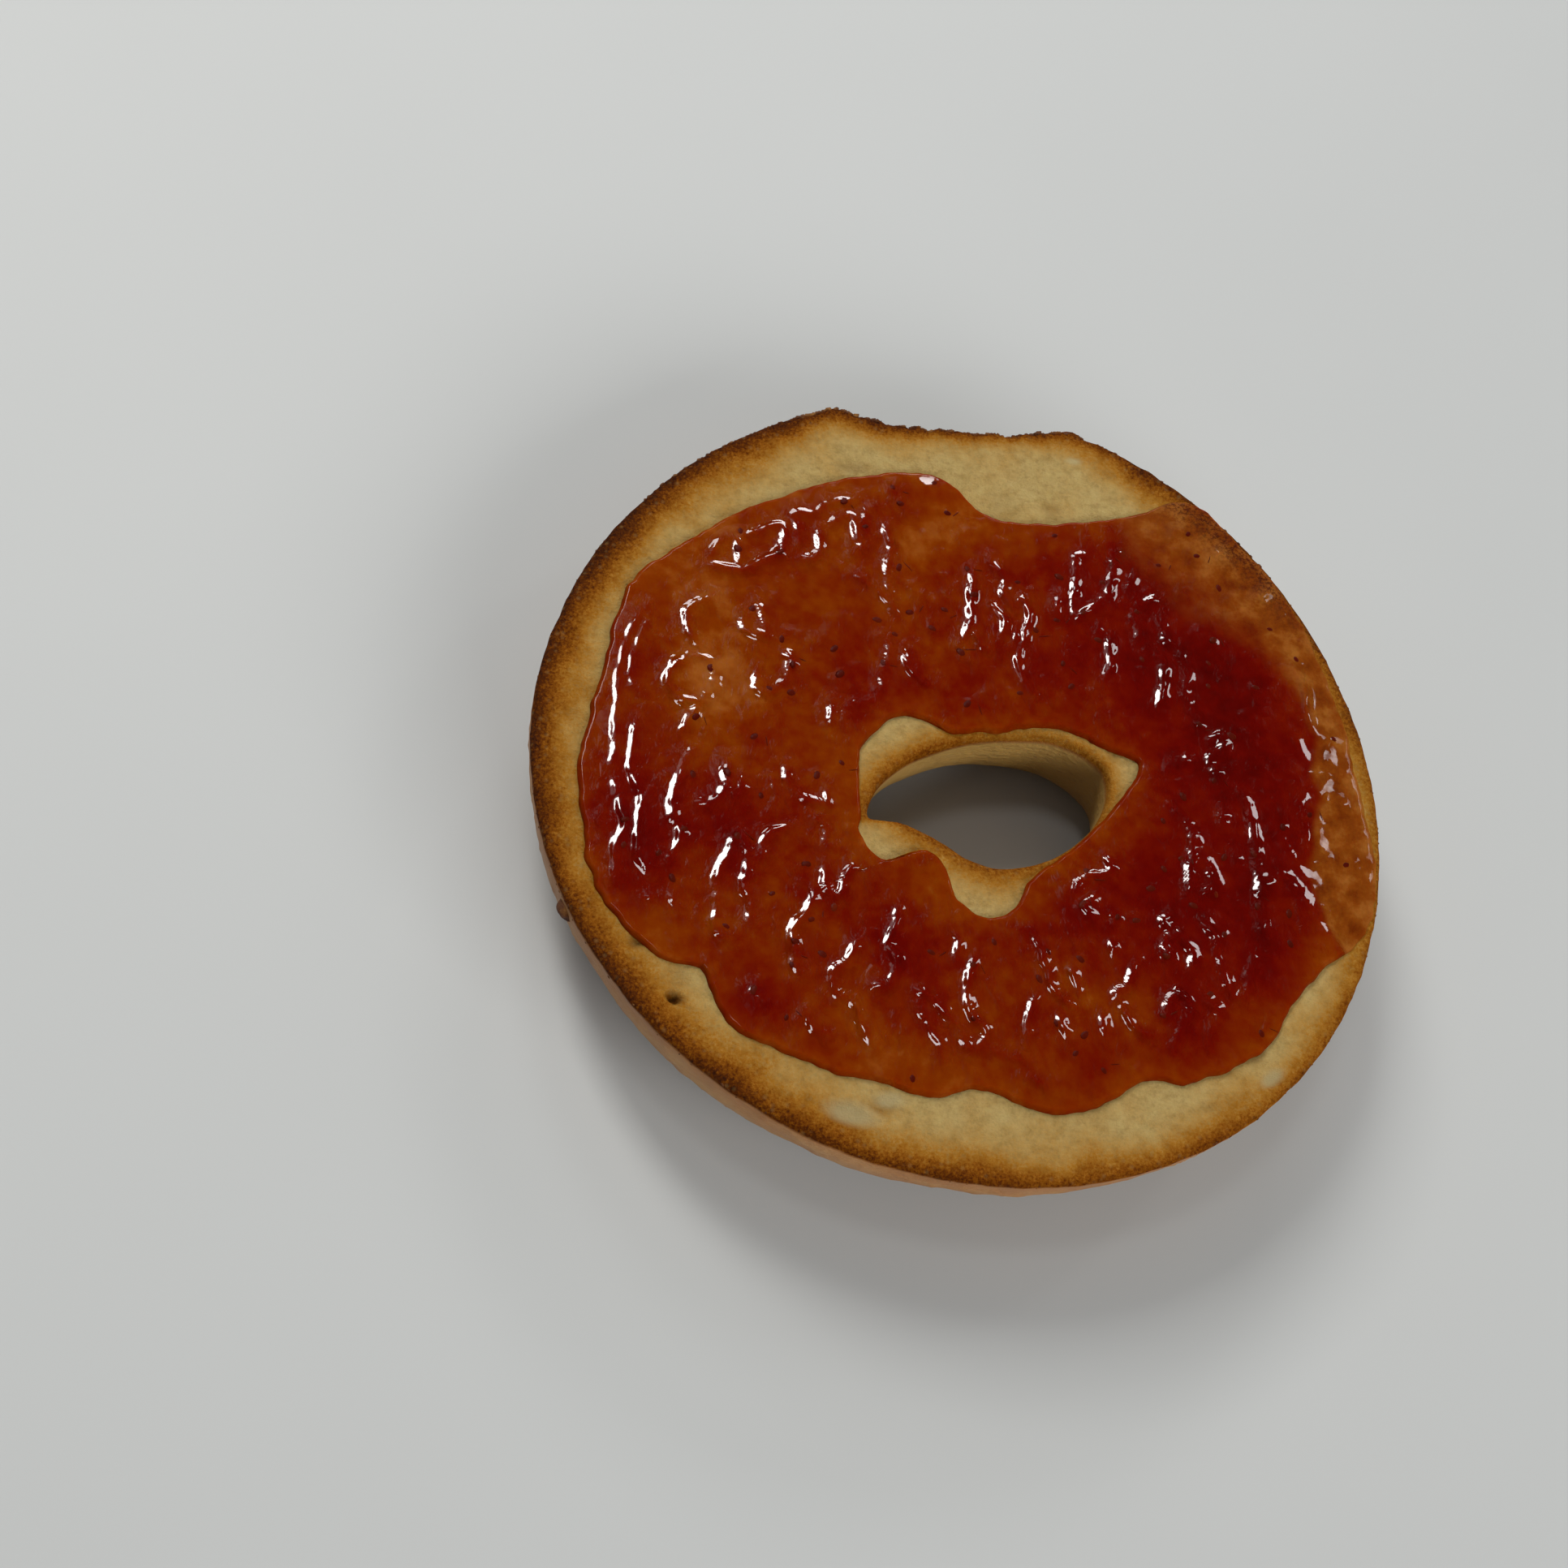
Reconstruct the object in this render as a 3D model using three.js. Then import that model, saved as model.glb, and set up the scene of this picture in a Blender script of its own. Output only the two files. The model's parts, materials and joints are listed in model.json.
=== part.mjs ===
import * as THREE from 'three';
import { mergeVertices } from 'three/addons/utils/BufferGeometryUtils.js';

// One half of a cut and toasted ring roll, lying on its crust with the cut face up and jam on it.
// Units are millimetres and +Z is up. The rim and the outlines below are set out from the middle
// of the rim, and the finished group is moved so that its origin is under the middle of its base.

// ---- Driving dimensions ----
const RIM_RADIUS = 52.6; // mean radius of the cut face
const RIM_SHIFT = 0.35; // how far the rim bulges towards +Y
const RIM_LOBES = 0.55; // three shallow lobes around the rim
const LOBE_ANGLE = THREE.MathUtils.degToRad(73);
const HALF_HEIGHT = 17.6; // from the base ring up to the cut face

const TORN_DEPTH = 4.0; // the +Y side was torn from its neighbour after baking
const TORN_ANGLE = THREE.MathUtils.degToRad(90);
const TORN_HALF_WIDTH = THREE.MathUtils.degToRad(14);
const TORN_FADE_HEIGHT = 9.0; // the torn side rounds off into whole crust below this height

const OVAL_CENTRE = new THREE.Vector2(2, -4); // the plain oval that the hole opens into at the base
const OVAL_HALF_LENGTH = 14;
const OVAL_HALF_WIDTH = 8;
const OVAL_ANGLE = THREE.MathUtils.degToRad(12);

const BASE_INNER = 0.3; // the flat base ring, as shares of the way from the hole to the rim
const BASE_OUTER = 0.57;
const INNER_ROUNDING = 2.7; // 2 is an ellipse, more is a straighter wall
const OUTER_ROUNDING = 2.15;

const JAM_THICKNESS = 2.2;
const FILM_THICKNESS = 0.7; // where the jam is wiped out to the rim
const FILM_ANGLE = THREE.MathUtils.degToRad(16);
const FILM_HALF_ANGLE = THREE.MathUtils.degToRad(38);
const FILM_FADE_ANGLE = THREE.MathUtils.degToRad(50);
const FILM_START = 0.62; // share of the way from the jam's inner edge to its outer edge
const FILM_FULL = 0.84;

const BREAD_SEGMENTS = 96;
const JAM_SEGMENTS = 144;
const SHOULDER_STEPS = 9;

// ---- Outlines on the cut face, counter-clockwise from +X ----

// The hole: a long oval, a little wider at its +X end.
const holeOutline = closedCurve([
  [16.8, -1.6], [16.4, 1.8], [11.2, 4.8], [5.6, 4.7], [2.0, 4.2], [-1.2, 3.3], [-4.4, 2.0], [-8.0, 0],
  [-11.6, -3.8], [-12.6, -7.4], [-8.4, -7.8], [-3.8, -9.8], [-1.2, -11.4], [2.0, -12.4], [5.4, -12.0],
  [9.2, -10.6], [12.6, -8.2], [15.0, -5.6],
]);

// The jam's inner edge: off the hole at three lobes, and close to its rim between them.
const jamInner = closedCurve([
  [17.5, -3.4], [20.4, 0.8], [20.7, 2.6], [16.4, 4.2], [12.2, 6.0], [8.2, 6.1], [4.4, 5.1], [1.2, 4.8],
  [-2.4, 4.4], [-5.2, 5.7], [-8.2, 6.2], [-11.2, 4.2], [-13.4, 1.2], [-13.9, -3.0], [-13.8, -7.0],
  [-14.0, -9.8], [-11.6, -13.0], [-6.2, -11.4], [-4.2, -13.4], [-2.6, -17.6], [0.8, -19.4],
  [4.2, -17.6], [6.0, -14.2], [9.6, -11.2], [13.4, -8.0],
]);

// The jam's outer edge: wiped out to the rim on the +X side, and short of it all the way round elsewhere.
const jamOuter = closedCurve([
  [49.8, 0.0], [49.2, 7.0], [47.8, 15.0], [45.6, 22.6], [42.2, 30.0], [37.6, 35.4], [32.6, 40.8],
  [29.4, 41.2], [25.4, 39.2], [19.6, 37.2], [13.0, 35.8], [6.8, 35.4], [3.0, 36.6], [1.2, 38.4],
  [-1.6, 40.8], [-5.4, 41.4], [-11.0, 40.2], [-17.0, 38.4], [-23.0, 35.4], [-29.0, 32.2],
  [-35.2, 27.0], [-40.6, 22.4], [-43.0, 16.4], [-44.6, 9.0], [-46.4, 1.2], [-47.3, -3.0],
  [-46.8, -11.0], [-45.4, -18.4], [-41.6, -24.0], [-37.4, -27.3], [-33.2, -28.2], [-31.8, -31.6],
  [-29.6, -35.0], [-23.4, -37.9], [-17.6, -39.8], [-12.4, -40.6], [-8.0, -42.0], [-4.0, -41.2],
  [-0.4, -40.8], [3.6, -42.4], [8.0, -43.0], [13.0, -41.6], [16.2, -39.6], [19.4, -38.2],
  [22.4, -38.7], [27.8, -36.8], [33.4, -33.6], [38.0, -27.2], [42.4, -22.6], [47.4, -18.8],
  [50.0, -12.0], [50.4, -5.0],
]);

function closedCurve(points) {
  return new THREE.CatmullRomCurve3(points.map(([x, y]) => new THREE.Vector3(x, y, 0)), true);
}

function angleBetween(a, b) {
  return Math.atan2(Math.sin(a - b), Math.cos(a - b));
}

// The rim in one direction, with the torn side as a soft dip. Below the cut face it is the line
// that the outer shoulder is drawn in from.
function rimPoint(turn, height) {
  const angle = turn * 2 * Math.PI;
  const away = angleBetween(angle, TORN_ANGLE) / TORN_HALF_WIDTH;
  const torn = TORN_DEPTH * Math.exp(-(away ** 4)) * THREE.MathUtils.smoothstep(height, 0, TORN_FADE_HEIGHT);
  const lobes = RIM_LOBES * Math.cos(3 * (angle - LOBE_ANGLE));
  const radius = RIM_RADIUS + RIM_SHIFT * Math.sin(angle) + lobes - torn;
  return new THREE.Vector3(radius * Math.cos(angle), radius * Math.sin(angle), 0);
}

// The hole in one direction: its own outline at the cut face, easing to the plain oval at the base.
function holePoint(turn, height) {
  const angle = turn * 2 * Math.PI;
  const oval = new THREE.Vector2(OVAL_HALF_LENGTH * Math.cos(angle), OVAL_HALF_WIDTH * Math.sin(angle));
  oval.rotateAround(new THREE.Vector2(), OVAL_ANGLE).add(OVAL_CENTRE);
  const share = THREE.MathUtils.smoothstep(height, 0, HALF_HEIGHT);
  return new THREE.Vector3(oval.x, oval.y, 0).lerp(holeOutline.getPoint(turn), share);
}

// A ring solid. The profile is a closed outline of [across, height] points: across goes from 0 at
// the inner edge to 1 at the outer edge. It is turned with a lathe, and each turned point is then
// moved to its place between the two edges.
function ringGeometry(profile, segments, innerPoint, outerPoint, heightOf) {
  const turned = profile.map(([across, height]) => new THREE.Vector2(1 + across, height));
  const geometry = new THREE.LatheGeometry(turned, segments);
  geometry.deleteAttribute('normal');
  geometry.deleteAttribute('uv');
  geometry.rotateX(Math.PI / 2);
  const position = geometry.attributes.position;
  for (let i = 0; i < position.count; i += 1) {
    const [x, y, height] = [position.getX(i), position.getY(i), position.getZ(i)];
    const share = Math.round((Math.atan2(y, x) / (2 * Math.PI)) * segments) / segments;
    const turn = (share + 1) % 1;
    const across = Math.hypot(x, y) - 1;
    const place = innerPoint(turn, height).lerp(outerPoint(turn, height), across);
    position.setXYZ(i, place.x, place.y, heightOf(height, across, turn));
  }
  const merged = mergeVertices(geometry, 1e-4);
  merged.computeVertexNormals();
  return merged;
}

// One quarter of a superellipse from the base ring up to the cut face.
function shoulder(baseAt, edgeAt, rounding) {
  const points = [];
  for (let i = 0; i <= SHOULDER_STEPS; i += 1) {
    const angle = (i / SHOULDER_STEPS) * (Math.PI / 2);
    const out = Math.sin(angle) ** (2 / rounding);
    const up = 1 - Math.cos(angle) ** (2 / rounding);
    points.push([THREE.MathUtils.lerp(baseAt, edgeAt, out), up * HALF_HEIGHT]);
  }
  return points;
}

// ---- The baked half: base ring, two rounded shoulders and the flat cut face ----
function bagelHalf() {
  const outer = shoulder(BASE_OUTER, 1, OUTER_ROUNDING);
  const inner = shoulder(BASE_INNER, 0, INNER_ROUNDING).reverse();
  const profile = [...outer, ...inner, outer[0]];
  return ringGeometry(profile, BREAD_SEGMENTS, holePoint, rimPoint, (height) => height);
}

// ---- The jam: a layer with a flat underside on the cut face and rounded edges ----
function filmShare(across, turn) {
  const away = Math.abs(angleBetween(turn * 2 * Math.PI, FILM_ANGLE));
  const around = 1 - THREE.MathUtils.smoothstep(away, FILM_HALF_ANGLE, FILM_FADE_ANGLE);
  return around * THREE.MathUtils.smoothstep(across, FILM_START, FILM_FULL);
}

function jamSpread() {
  const profile = [
    [0, 0], [1, 0], [1, 0.4], [0.985, 0.78], [0.95, 1], [0.84, 1], [0.73, 1], [0.62, 1], [0.34, 1],
    [0.06, 1], [0.02, 0.78], [0, 0.4], [0, 0],
  ];
  const heightOf = (height, across, turn) => {
    const thickness = THREE.MathUtils.lerp(JAM_THICKNESS, FILM_THICKNESS, filmShare(across, turn));
    return HALF_HEIGHT + height * thickness;
  };
  const innerPoint = (turn) => jamInner.getPoint(turn);
  const outerPoint = (turn) => jamOuter.getPoint(turn);
  return ringGeometry(profile, JAM_SEGMENTS, innerPoint, outerPoint, heightOf);
}

function namedMesh(name, geometry, color, roughness) {
  const material = new THREE.MeshStandardMaterial({ color, roughness, metalness: 0 });
  const mesh = new THREE.Mesh(geometry, material);
  mesh.name = name;
  return mesh;
}

const bagel = new THREE.Group();
bagel.add(namedMesh('bagel_half', bagelHalf(), 0xd9a866, 0.85));
bagel.add(namedMesh('jam_spread', jamSpread(), 0x9c2409, 0.2));

// The origin is under the middle of the base.
const middle = new THREE.Box3().setFromObject(bagel).getCenter(new THREE.Vector3());
bagel.children.forEach((mesh) => mesh.geometry.translate(-middle.x, -middle.y, 0));

export default bagel;
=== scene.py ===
import json
import math

import bmesh
import bpy
import numpy as np
from mathutils import Matrix, Vector
from mathutils.bvhtree import BVHTree
from mathutils.kdtree import KDTree


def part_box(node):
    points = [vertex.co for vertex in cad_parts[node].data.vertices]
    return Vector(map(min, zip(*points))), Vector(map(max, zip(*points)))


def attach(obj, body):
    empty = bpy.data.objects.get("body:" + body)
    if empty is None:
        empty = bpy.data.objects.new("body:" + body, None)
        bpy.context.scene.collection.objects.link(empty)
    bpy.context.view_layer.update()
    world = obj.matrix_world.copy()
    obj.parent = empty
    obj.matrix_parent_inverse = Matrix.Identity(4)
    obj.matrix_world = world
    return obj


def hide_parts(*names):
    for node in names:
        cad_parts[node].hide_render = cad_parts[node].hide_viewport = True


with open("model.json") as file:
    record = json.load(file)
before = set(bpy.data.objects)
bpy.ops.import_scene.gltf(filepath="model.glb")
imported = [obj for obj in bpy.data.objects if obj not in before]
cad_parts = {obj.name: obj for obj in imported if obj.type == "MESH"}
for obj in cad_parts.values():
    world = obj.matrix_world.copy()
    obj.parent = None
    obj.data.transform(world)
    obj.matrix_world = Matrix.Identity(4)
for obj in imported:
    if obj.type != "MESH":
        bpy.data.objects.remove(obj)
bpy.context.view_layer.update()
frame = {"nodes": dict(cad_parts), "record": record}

bl_info = {
    "name": "Toasted Bagel Half",
    "version": (1, 0, 0),
    "blender": (4, 5, 0),
    "location": "3D Viewport > Sidebar > Bagel",
    "description": "Builds a toasted bagel half with jam around a fixed solid model",
    "category": "Add Mesh",
}

MM = 0.001
BODY = "root"

# Lengths below are millimetres in the frame's own axes unless a name says otherwise.
FACE_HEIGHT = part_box("bagel_half")[1].z / MM
TOP_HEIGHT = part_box("jam_spread")[1].z / MM
BOX_LOW = np.array(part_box("bagel_half")[0]) / MM
BOX_HIGH = np.array(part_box("bagel_half")[1]) / MM
RIM_MIDDLE = np.array([0.43, 0.64])
HOLE_BOX = frame["record"]["physics"]["openings"][0]["box_m"]
HOLE_MIDDLE = (np.array(HOLE_BOX[0][:2]) + np.array(HOLE_BOX[1][:2])) / 2 / MM


# ---------------------------------------------------------------- noise

def hashed(cells, seed):
    """One steady pseudo-random number from 0 to 1 for each whole-number cell."""
    values = np.full(cells.shape[0], np.uint32(seed * 2654435761 % 2**32), np.uint32)
    for axis, factor in enumerate((73856093, 19349663, 83492791)):
        values ^= cells[:, axis].astype(np.int64).astype(np.uint32) * np.uint32(factor)
        values ^= values >> np.uint32(15)
        values *= np.uint32(2246822519)
        values ^= values >> np.uint32(13)
    return values.astype(np.float64) / 2**32


def smooth_noise(points, seed=0):
    """Gradient noise at each point, about -1 to 1, with features one unit across."""
    base = np.floor(points)
    inside = points - base
    fade = inside**3 * (inside * (inside * 6 - 15) + 10)
    total = np.zeros(points.shape[0])
    for corner in np.ndindex(2, 2, 2):
        corner = np.array(corner)
        cells = base + corner
        slope = np.stack([hashed(cells, seed + k) for k in (11, 12, 13)], 1) * 2 - 1
        share = np.prod(np.where(corner == 1, fade, 1 - fade), axis=1)
        total += share * np.sum(slope * (inside - corner), axis=1)
    return total * 1.6


def layered_noise(points, size, seed=0, layers=3):
    """Noise with finer and weaker layers on top, where size is the largest feature."""
    total = np.zeros(points.shape[0])
    for layer in range(layers):
        total += smooth_noise(points / size * 2**layer, seed + 31 * layer) / 2**layer
    return total


def cell_pits(points, spacing, share, seed=0):
    """Round pits from 0 to 1 deep: at most one in each cell, and only in that share of the cells."""
    base = np.floor(points / spacing)
    deepest = np.zeros(points.shape[0])
    for step in np.ndindex(3, 3, 3):
        cells = base + np.array(step) - 1
        middle = np.stack([hashed(cells, seed + k) for k in (1, 2, 3)], 1)
        radius = (0.18 + 0.4 * hashed(cells, seed + 4) ** 2) * spacing
        away = np.linalg.norm(points - (cells + middle) * spacing, axis=1)
        pit = np.clip(1 - away / radius, 0, 1) ** 0.7
        deepest = np.maximum(deepest, np.where(hashed(cells, seed + 5) < share, pit, 0))
    return deepest


def level(x, y):
    """Points at height zero, for noise that varies only across the face."""
    return np.stack([x, y, np.zeros_like(x)], 1)


def ease(low, high, value):
    """Smooth step from 0 at low to 1 at high."""
    share = np.clip((value - low) / (high - low), 0, 1)
    return share * share * (3 - 2 * share)


def bump_at(x, y, spot):
    """A soft hill of height 1 for a spot that starts with x, y, half width, half length and turn."""
    turn = math.radians(spot[4])
    dx, dy = x - spot[0], y - spot[1]
    u = (dx * math.cos(turn) + dy * math.sin(turn)) / spot[2]
    v = (-dx * math.sin(turn) + dy * math.cos(turn)) / spot[3]
    return np.exp(-(u * u + v * v))


# ---------------------------------------------------------------- outlines and meshes

def cad_tree(node):
    """A search tree of one CAD node's triangles, in millimetres."""
    mesh = frame["nodes"][node].data
    corners = [vertex.co / MM for vertex in mesh.vertices]
    return BVHTree.FromPolygons(corners, [tuple(face.vertices) for face in mesh.polygons])


def outline(node, middle, height, angles, from_outside):
    """Radius of one CAD node about a middle point at each angle, met from outside or from the middle."""
    tree = cad_tree(node)
    far = 200.0
    radii = []
    for angle in angles:
        away = Vector((math.cos(angle), math.sin(angle), 0))
        start = Vector((middle[0], middle[1], height))
        if from_outside:
            hit = tree.ray_cast(start + away * far, -away)
        else:
            hit = tree.ray_cast(start, away)
        if hit[0] is None:
            raise RuntimeError(f"{node} has no wall at {math.degrees(angle):.0f} degrees")
        radii.append((hit[0] - start).length)
    return np.array(radii)


def polar(middle, radii, angles):
    """Points about a middle, as an array of x and y."""
    return np.stack([middle[0] + radii * np.cos(angles), middle[1] + radii * np.sin(angles)], 1)


def ring_mesh(name, points):
    """A closed ring of quads from an array of [around, across, xyz] in millimetres."""
    around, across = points.shape[:2]
    index = np.arange(around * across).reshape(around, across)
    next_around = np.roll(index, -1, axis=0)
    quads = np.stack([index, np.roll(index, -1, 1), np.roll(next_around, -1, 1), next_around], -1)
    mesh = bpy.data.meshes.new(name)
    mesh.vertices.add(around * across)
    mesh.vertices.foreach_set("co", (points.reshape(-1, 3) * MM).astype(np.float32).ravel())
    quads = quads.reshape(-1, 4)
    mesh.loops.add(quads.size)
    mesh.loops.foreach_set("vertex_index", quads.ravel().astype(np.int32))
    mesh.polygons.add(len(quads))
    mesh.polygons.foreach_set("loop_start", (np.arange(len(quads)) * 4).astype(np.int32))
    mesh.update(calc_edges=True)
    mesh.validate()
    mesh.polygons.foreach_set("use_smooth", np.ones(len(mesh.polygons), bool))
    piece = bpy.data.objects.new(name, mesh)
    bpy.context.scene.collection.objects.link(piece)
    return piece


def paint(piece, name, values):
    """Stores one number for each vertex, for the material to read."""
    layer = piece.data.attributes.new(name, "FLOAT", "POINT")
    layer.data.foreach_set("value", np.asarray(values, np.float32).ravel())


# ---------------------------------------------------------------- the cut face

# Wide bubbles and pressed spots in the crumb: x, y, half width, half length, turn in degrees, depth.
CRUMB_SPOTS = (
    (-35.6, -31.0, 0.9, 0.65, -15, 1.5),
    (-40.0, -24.6, 1.1, 0.8, 10, 0.5),
    (-16.4, -43.6, 2.6, 1.3, -12, 0.55),
    (-12.6, -42.4, 1.7, 1.1, 0, 0.4),
    (-12.6, 41.8, 2.2, 0.9, 5, 0.35),
    (13.2, 38.8, 1.3, 0.9, 0, 0.35),
    (34.0, -36.6, 1.4, 0.8, 35, 0.35),
    (-47.6, 3.6, 1.0, 1.3, 0, 0.2),
    (26.0, -40.4, 1.0, 0.6, 20, 0.25),
)


def face_swell(x, y):
    """Gentle rise and fall of the cut face, which the jam lies on."""
    return 0.16 * layered_noise(level(x, y), 17.0, seed=3, layers=2) - 0.2


# Pressed spots where the crumb is pale and glassy: x, y, half width, half length, turn.
PALE_SPOTS = (
    (-15.8, -43.4, 3.4, 1.5, -12),
    (-11.5, -41.6, 2.0, 1.0, 0),
    (34.2, -36.4, 1.8, 1.0, 35),
    (16.6, 46.4, 1.2, 0.6, 0),
)

# Directions of the two corners where the crust stands proud beside the torn stretch.
TORN_CORNERS = (72.6, 106.8)

# How far in from the rim the toasting reaches, and how dark it gets there, by direction.
TOASTING = (
    (0, 3.4, 0.62), (40, 4.4, 0.84), (62, 4.4, 0.88), (74, 2.6, 0.92), (90, 2.3, 0.90), (105, 3.0, 0.94),
    (115, 4.6, 0.94), (140, 5.0, 0.94), (170, 5.4, 0.90), (205, 5.0, 0.84), (235, 4.9, 0.80),
    (265, 3.8, 0.74), (300, 3.5, 0.66), (330, 3.4, 0.62), (360, 3.4, 0.62),
)
TOAST_FALL = ((0, 1.0), (0.15, 0.95), (0.35, 0.80), (0.65, 0.58), (1.0, 0.36), (1.5, 0.17), (2.4, 0.03))


class Ring:
    """The bread's outlines, read from the solid model, with closer columns on the torn side."""

    def __init__(self, around):
        fine = np.linspace(0, 2 * math.pi, 3601)
        density = 1 + 1.7 * np.exp(-(((np.degrees(fine) - 90) / 22) ** 4))
        travelled = np.concatenate([[0], np.cumsum(density[1:])])
        self.angles = np.interp(np.arange(around) / around * travelled[-1], travelled, fine)
        self.rim = outline("bagel_half", RIM_MIDDLE, FACE_HEIGHT - 0.05, self.angles, True)
        self.hole = outline("bagel_half", HOLE_MIDDLE, FACE_HEIGHT - 0.05, self.angles, False)
        self.base_rim = outline("bagel_half", RIM_MIDDLE, 0.02, self.angles, True)
        self.base_hole = outline("bagel_half", HOLE_MIDDLE, 0.02, self.angles, False)


# ---------------------------------------------------------------- shader helpers

def new_material(name):
    """A node material with one Principled shader."""
    material = bpy.data.materials.new(name)
    material.use_nodes = True
    tree = material.node_tree
    tree.nodes.clear()
    shader = tree.nodes.new("ShaderNodeBsdfPrincipled")
    output = tree.nodes.new("ShaderNodeOutputMaterial")
    tree.links.new(shader.outputs["BSDF"], output.inputs["Surface"])
    return material, tree, shader


def plug(tree, target, value):
    """Links a socket, or sets a plain value."""
    if isinstance(value, bpy.types.NodeSocket):
        tree.links.new(value, target)
    else:
        target.default_value = value


def attribute(tree, name):
    node = tree.nodes.new("ShaderNodeAttribute")
    node.attribute_name = name
    return node.outputs["Fac"]


def sums(tree, operation, first, second=0.0, third=None, clamp=False):
    """A Math node's result."""
    node = tree.nodes.new("ShaderNodeMath")
    node.operation = operation
    node.use_clamp = clamp
    plug(tree, node.inputs[0], first)
    plug(tree, node.inputs[1], second)
    if third is not None:
        plug(tree, node.inputs[2], third)
    return node.outputs[0]


def stirred(tree, base, noise, amount, clamp=False):
    """A value that noise raises and lowers, where noise is about 0.5 on average."""
    return sums(tree, "MULTIPLY_ADD", sums(tree, "SUBTRACT", noise, 0.5), amount, base, clamp=clamp)


def spread(tree, value, low, high, new_low=0.0, new_high=1.0):
    """Maps one range of numbers to another, held at its ends."""
    node = tree.nodes.new("ShaderNodeMapRange")
    plug(tree, node.inputs["Value"], value)
    for name, number in (("From Min", low), ("From Max", high), ("To Min", new_low), ("To Max", new_high)):
        node.inputs[name].default_value = number
    return node.outputs["Result"]


def mix_colour(tree, share, first, second, blend="MIX"):
    node = tree.nodes.new("ShaderNodeMix")
    node.data_type = "RGBA"
    node.blend_type = blend
    plug(tree, node.inputs["Factor"], share)
    plug(tree, node.inputs["A"], first)
    plug(tree, node.inputs["B"], second)
    return node.outputs["Result"]


def ramp(tree, value, stops):
    """A colour ramp from (place, colour) stops."""
    node = tree.nodes.new("ShaderNodeValToRGB")
    elements = node.color_ramp.elements
    while len(elements) < len(stops):
        elements.new(0.5)
    for element, (place, colour) in zip(elements, stops):
        element.position = place
        element.color = (*colour, 1.0)
    plug(tree, node.inputs["Fac"], value)
    return node.outputs["Color"]


def texture_noise(tree, size_mm, detail=3.0, roughness=0.55, stretch=(1, 1, 1), distortion=0.0):
    """Noise with features of about size_mm, in object space."""
    where = tree.nodes.new("ShaderNodeTexCoord").outputs["Object"]
    mapping = tree.nodes.new("ShaderNodeMapping")
    tree.links.new(where, mapping.inputs["Vector"])
    mapping.inputs["Scale"].default_value = stretch
    node = tree.nodes.new("ShaderNodeTexNoise")
    tree.links.new(mapping.outputs["Vector"], node.inputs["Vector"])
    node.inputs["Scale"].default_value = 1 / (size_mm * MM)
    node.inputs["Detail"].default_value = detail
    node.inputs["Roughness"].default_value = roughness
    node.inputs["Distortion"].default_value = distortion
    return node.outputs["Fac"]


def bump(tree, height, depth_mm, strength=1.0, under=None):
    node = tree.nodes.new("ShaderNodeBump")
    node.inputs["Distance"].default_value = depth_mm * MM
    node.inputs["Strength"].default_value = strength
    plug(tree, node.inputs["Height"], height)
    if under is not None:
        tree.links.new(under, node.inputs["Normal"])
    return node.outputs["Normal"]


def use_group(tree, group, **values):
    """Places a shared effect and gives it this material's own values."""
    node = tree.nodes.new("ShaderNodeGroup")
    node.node_tree = group
    for name, value in values.items():
        plug(tree, node.inputs[name.replace("_", " ")], value)
    return node


def new_group(name, inputs, outputs):
    """An empty shader group with float inputs and the outputs named."""
    group = bpy.data.node_groups.new(name, "ShaderNodeTree")
    for label, default in inputs:
        socket = group.interface.new_socket(label, in_out="INPUT", socket_type="NodeSocketFloat")
        socket.default_value = default
    for label in outputs:
        group.interface.new_socket(label, in_out="OUTPUT", socket_type="NodeSocketFloat")
    entry = group.nodes.new("NodeGroupInput")
    leave = group.nodes.new("NodeGroupOutput")
    return group, entry, leave


def grain_group():
    """Shared by bread, jam and crumbs: uneven cloudiness, fine grain and small round specks."""
    if "Baked Grain" in bpy.data.node_groups:
        return bpy.data.node_groups["Baked Grain"]
    inputs = (("Cloud Size", 6.0), ("Grain Size", 0.5), ("Speck Size", 1.0))
    group, entry, leave = new_group("Baked Grain", inputs, ("Cloud", "Grain", "Specks"))
    where = group.nodes.new("ShaderNodeTexCoord").outputs["Object"]
    for label, detail, output in (("Cloud Size", 3.0, "Cloud"), ("Grain Size", 4.0, "Grain")):
        noise = group.nodes.new("ShaderNodeTexNoise")
        group.links.new(where, noise.inputs["Vector"])
        group.links.new(sums(group, "DIVIDE", 1 / MM, entry.outputs[label]), noise.inputs["Scale"])
        noise.inputs["Detail"].default_value = detail
        noise.inputs["Roughness"].default_value = 0.6
        group.links.new(noise.outputs["Fac"], leave.inputs[output])
    cells = group.nodes.new("ShaderNodeTexVoronoi")
    group.links.new(where, cells.inputs["Vector"])
    group.links.new(sums(group, "DIVIDE", 1 / MM, entry.outputs["Speck Size"]), cells.inputs["Scale"])
    split = group.nodes.new("ShaderNodeSeparateColor")
    group.links.new(cells.outputs["Color"], split.inputs["Color"])
    near = spread(group, cells.outputs["Distance"], 0.12, 0.42, 1.0, 0.0)
    chosen = spread(group, split.outputs["Red"], 0.62, 0.68)
    group.links.new(sums(group, "MULTIPLY", near, chosen), leave.inputs["Specks"])
    return group


# ---------------------------------------------------------------- bread material

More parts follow.
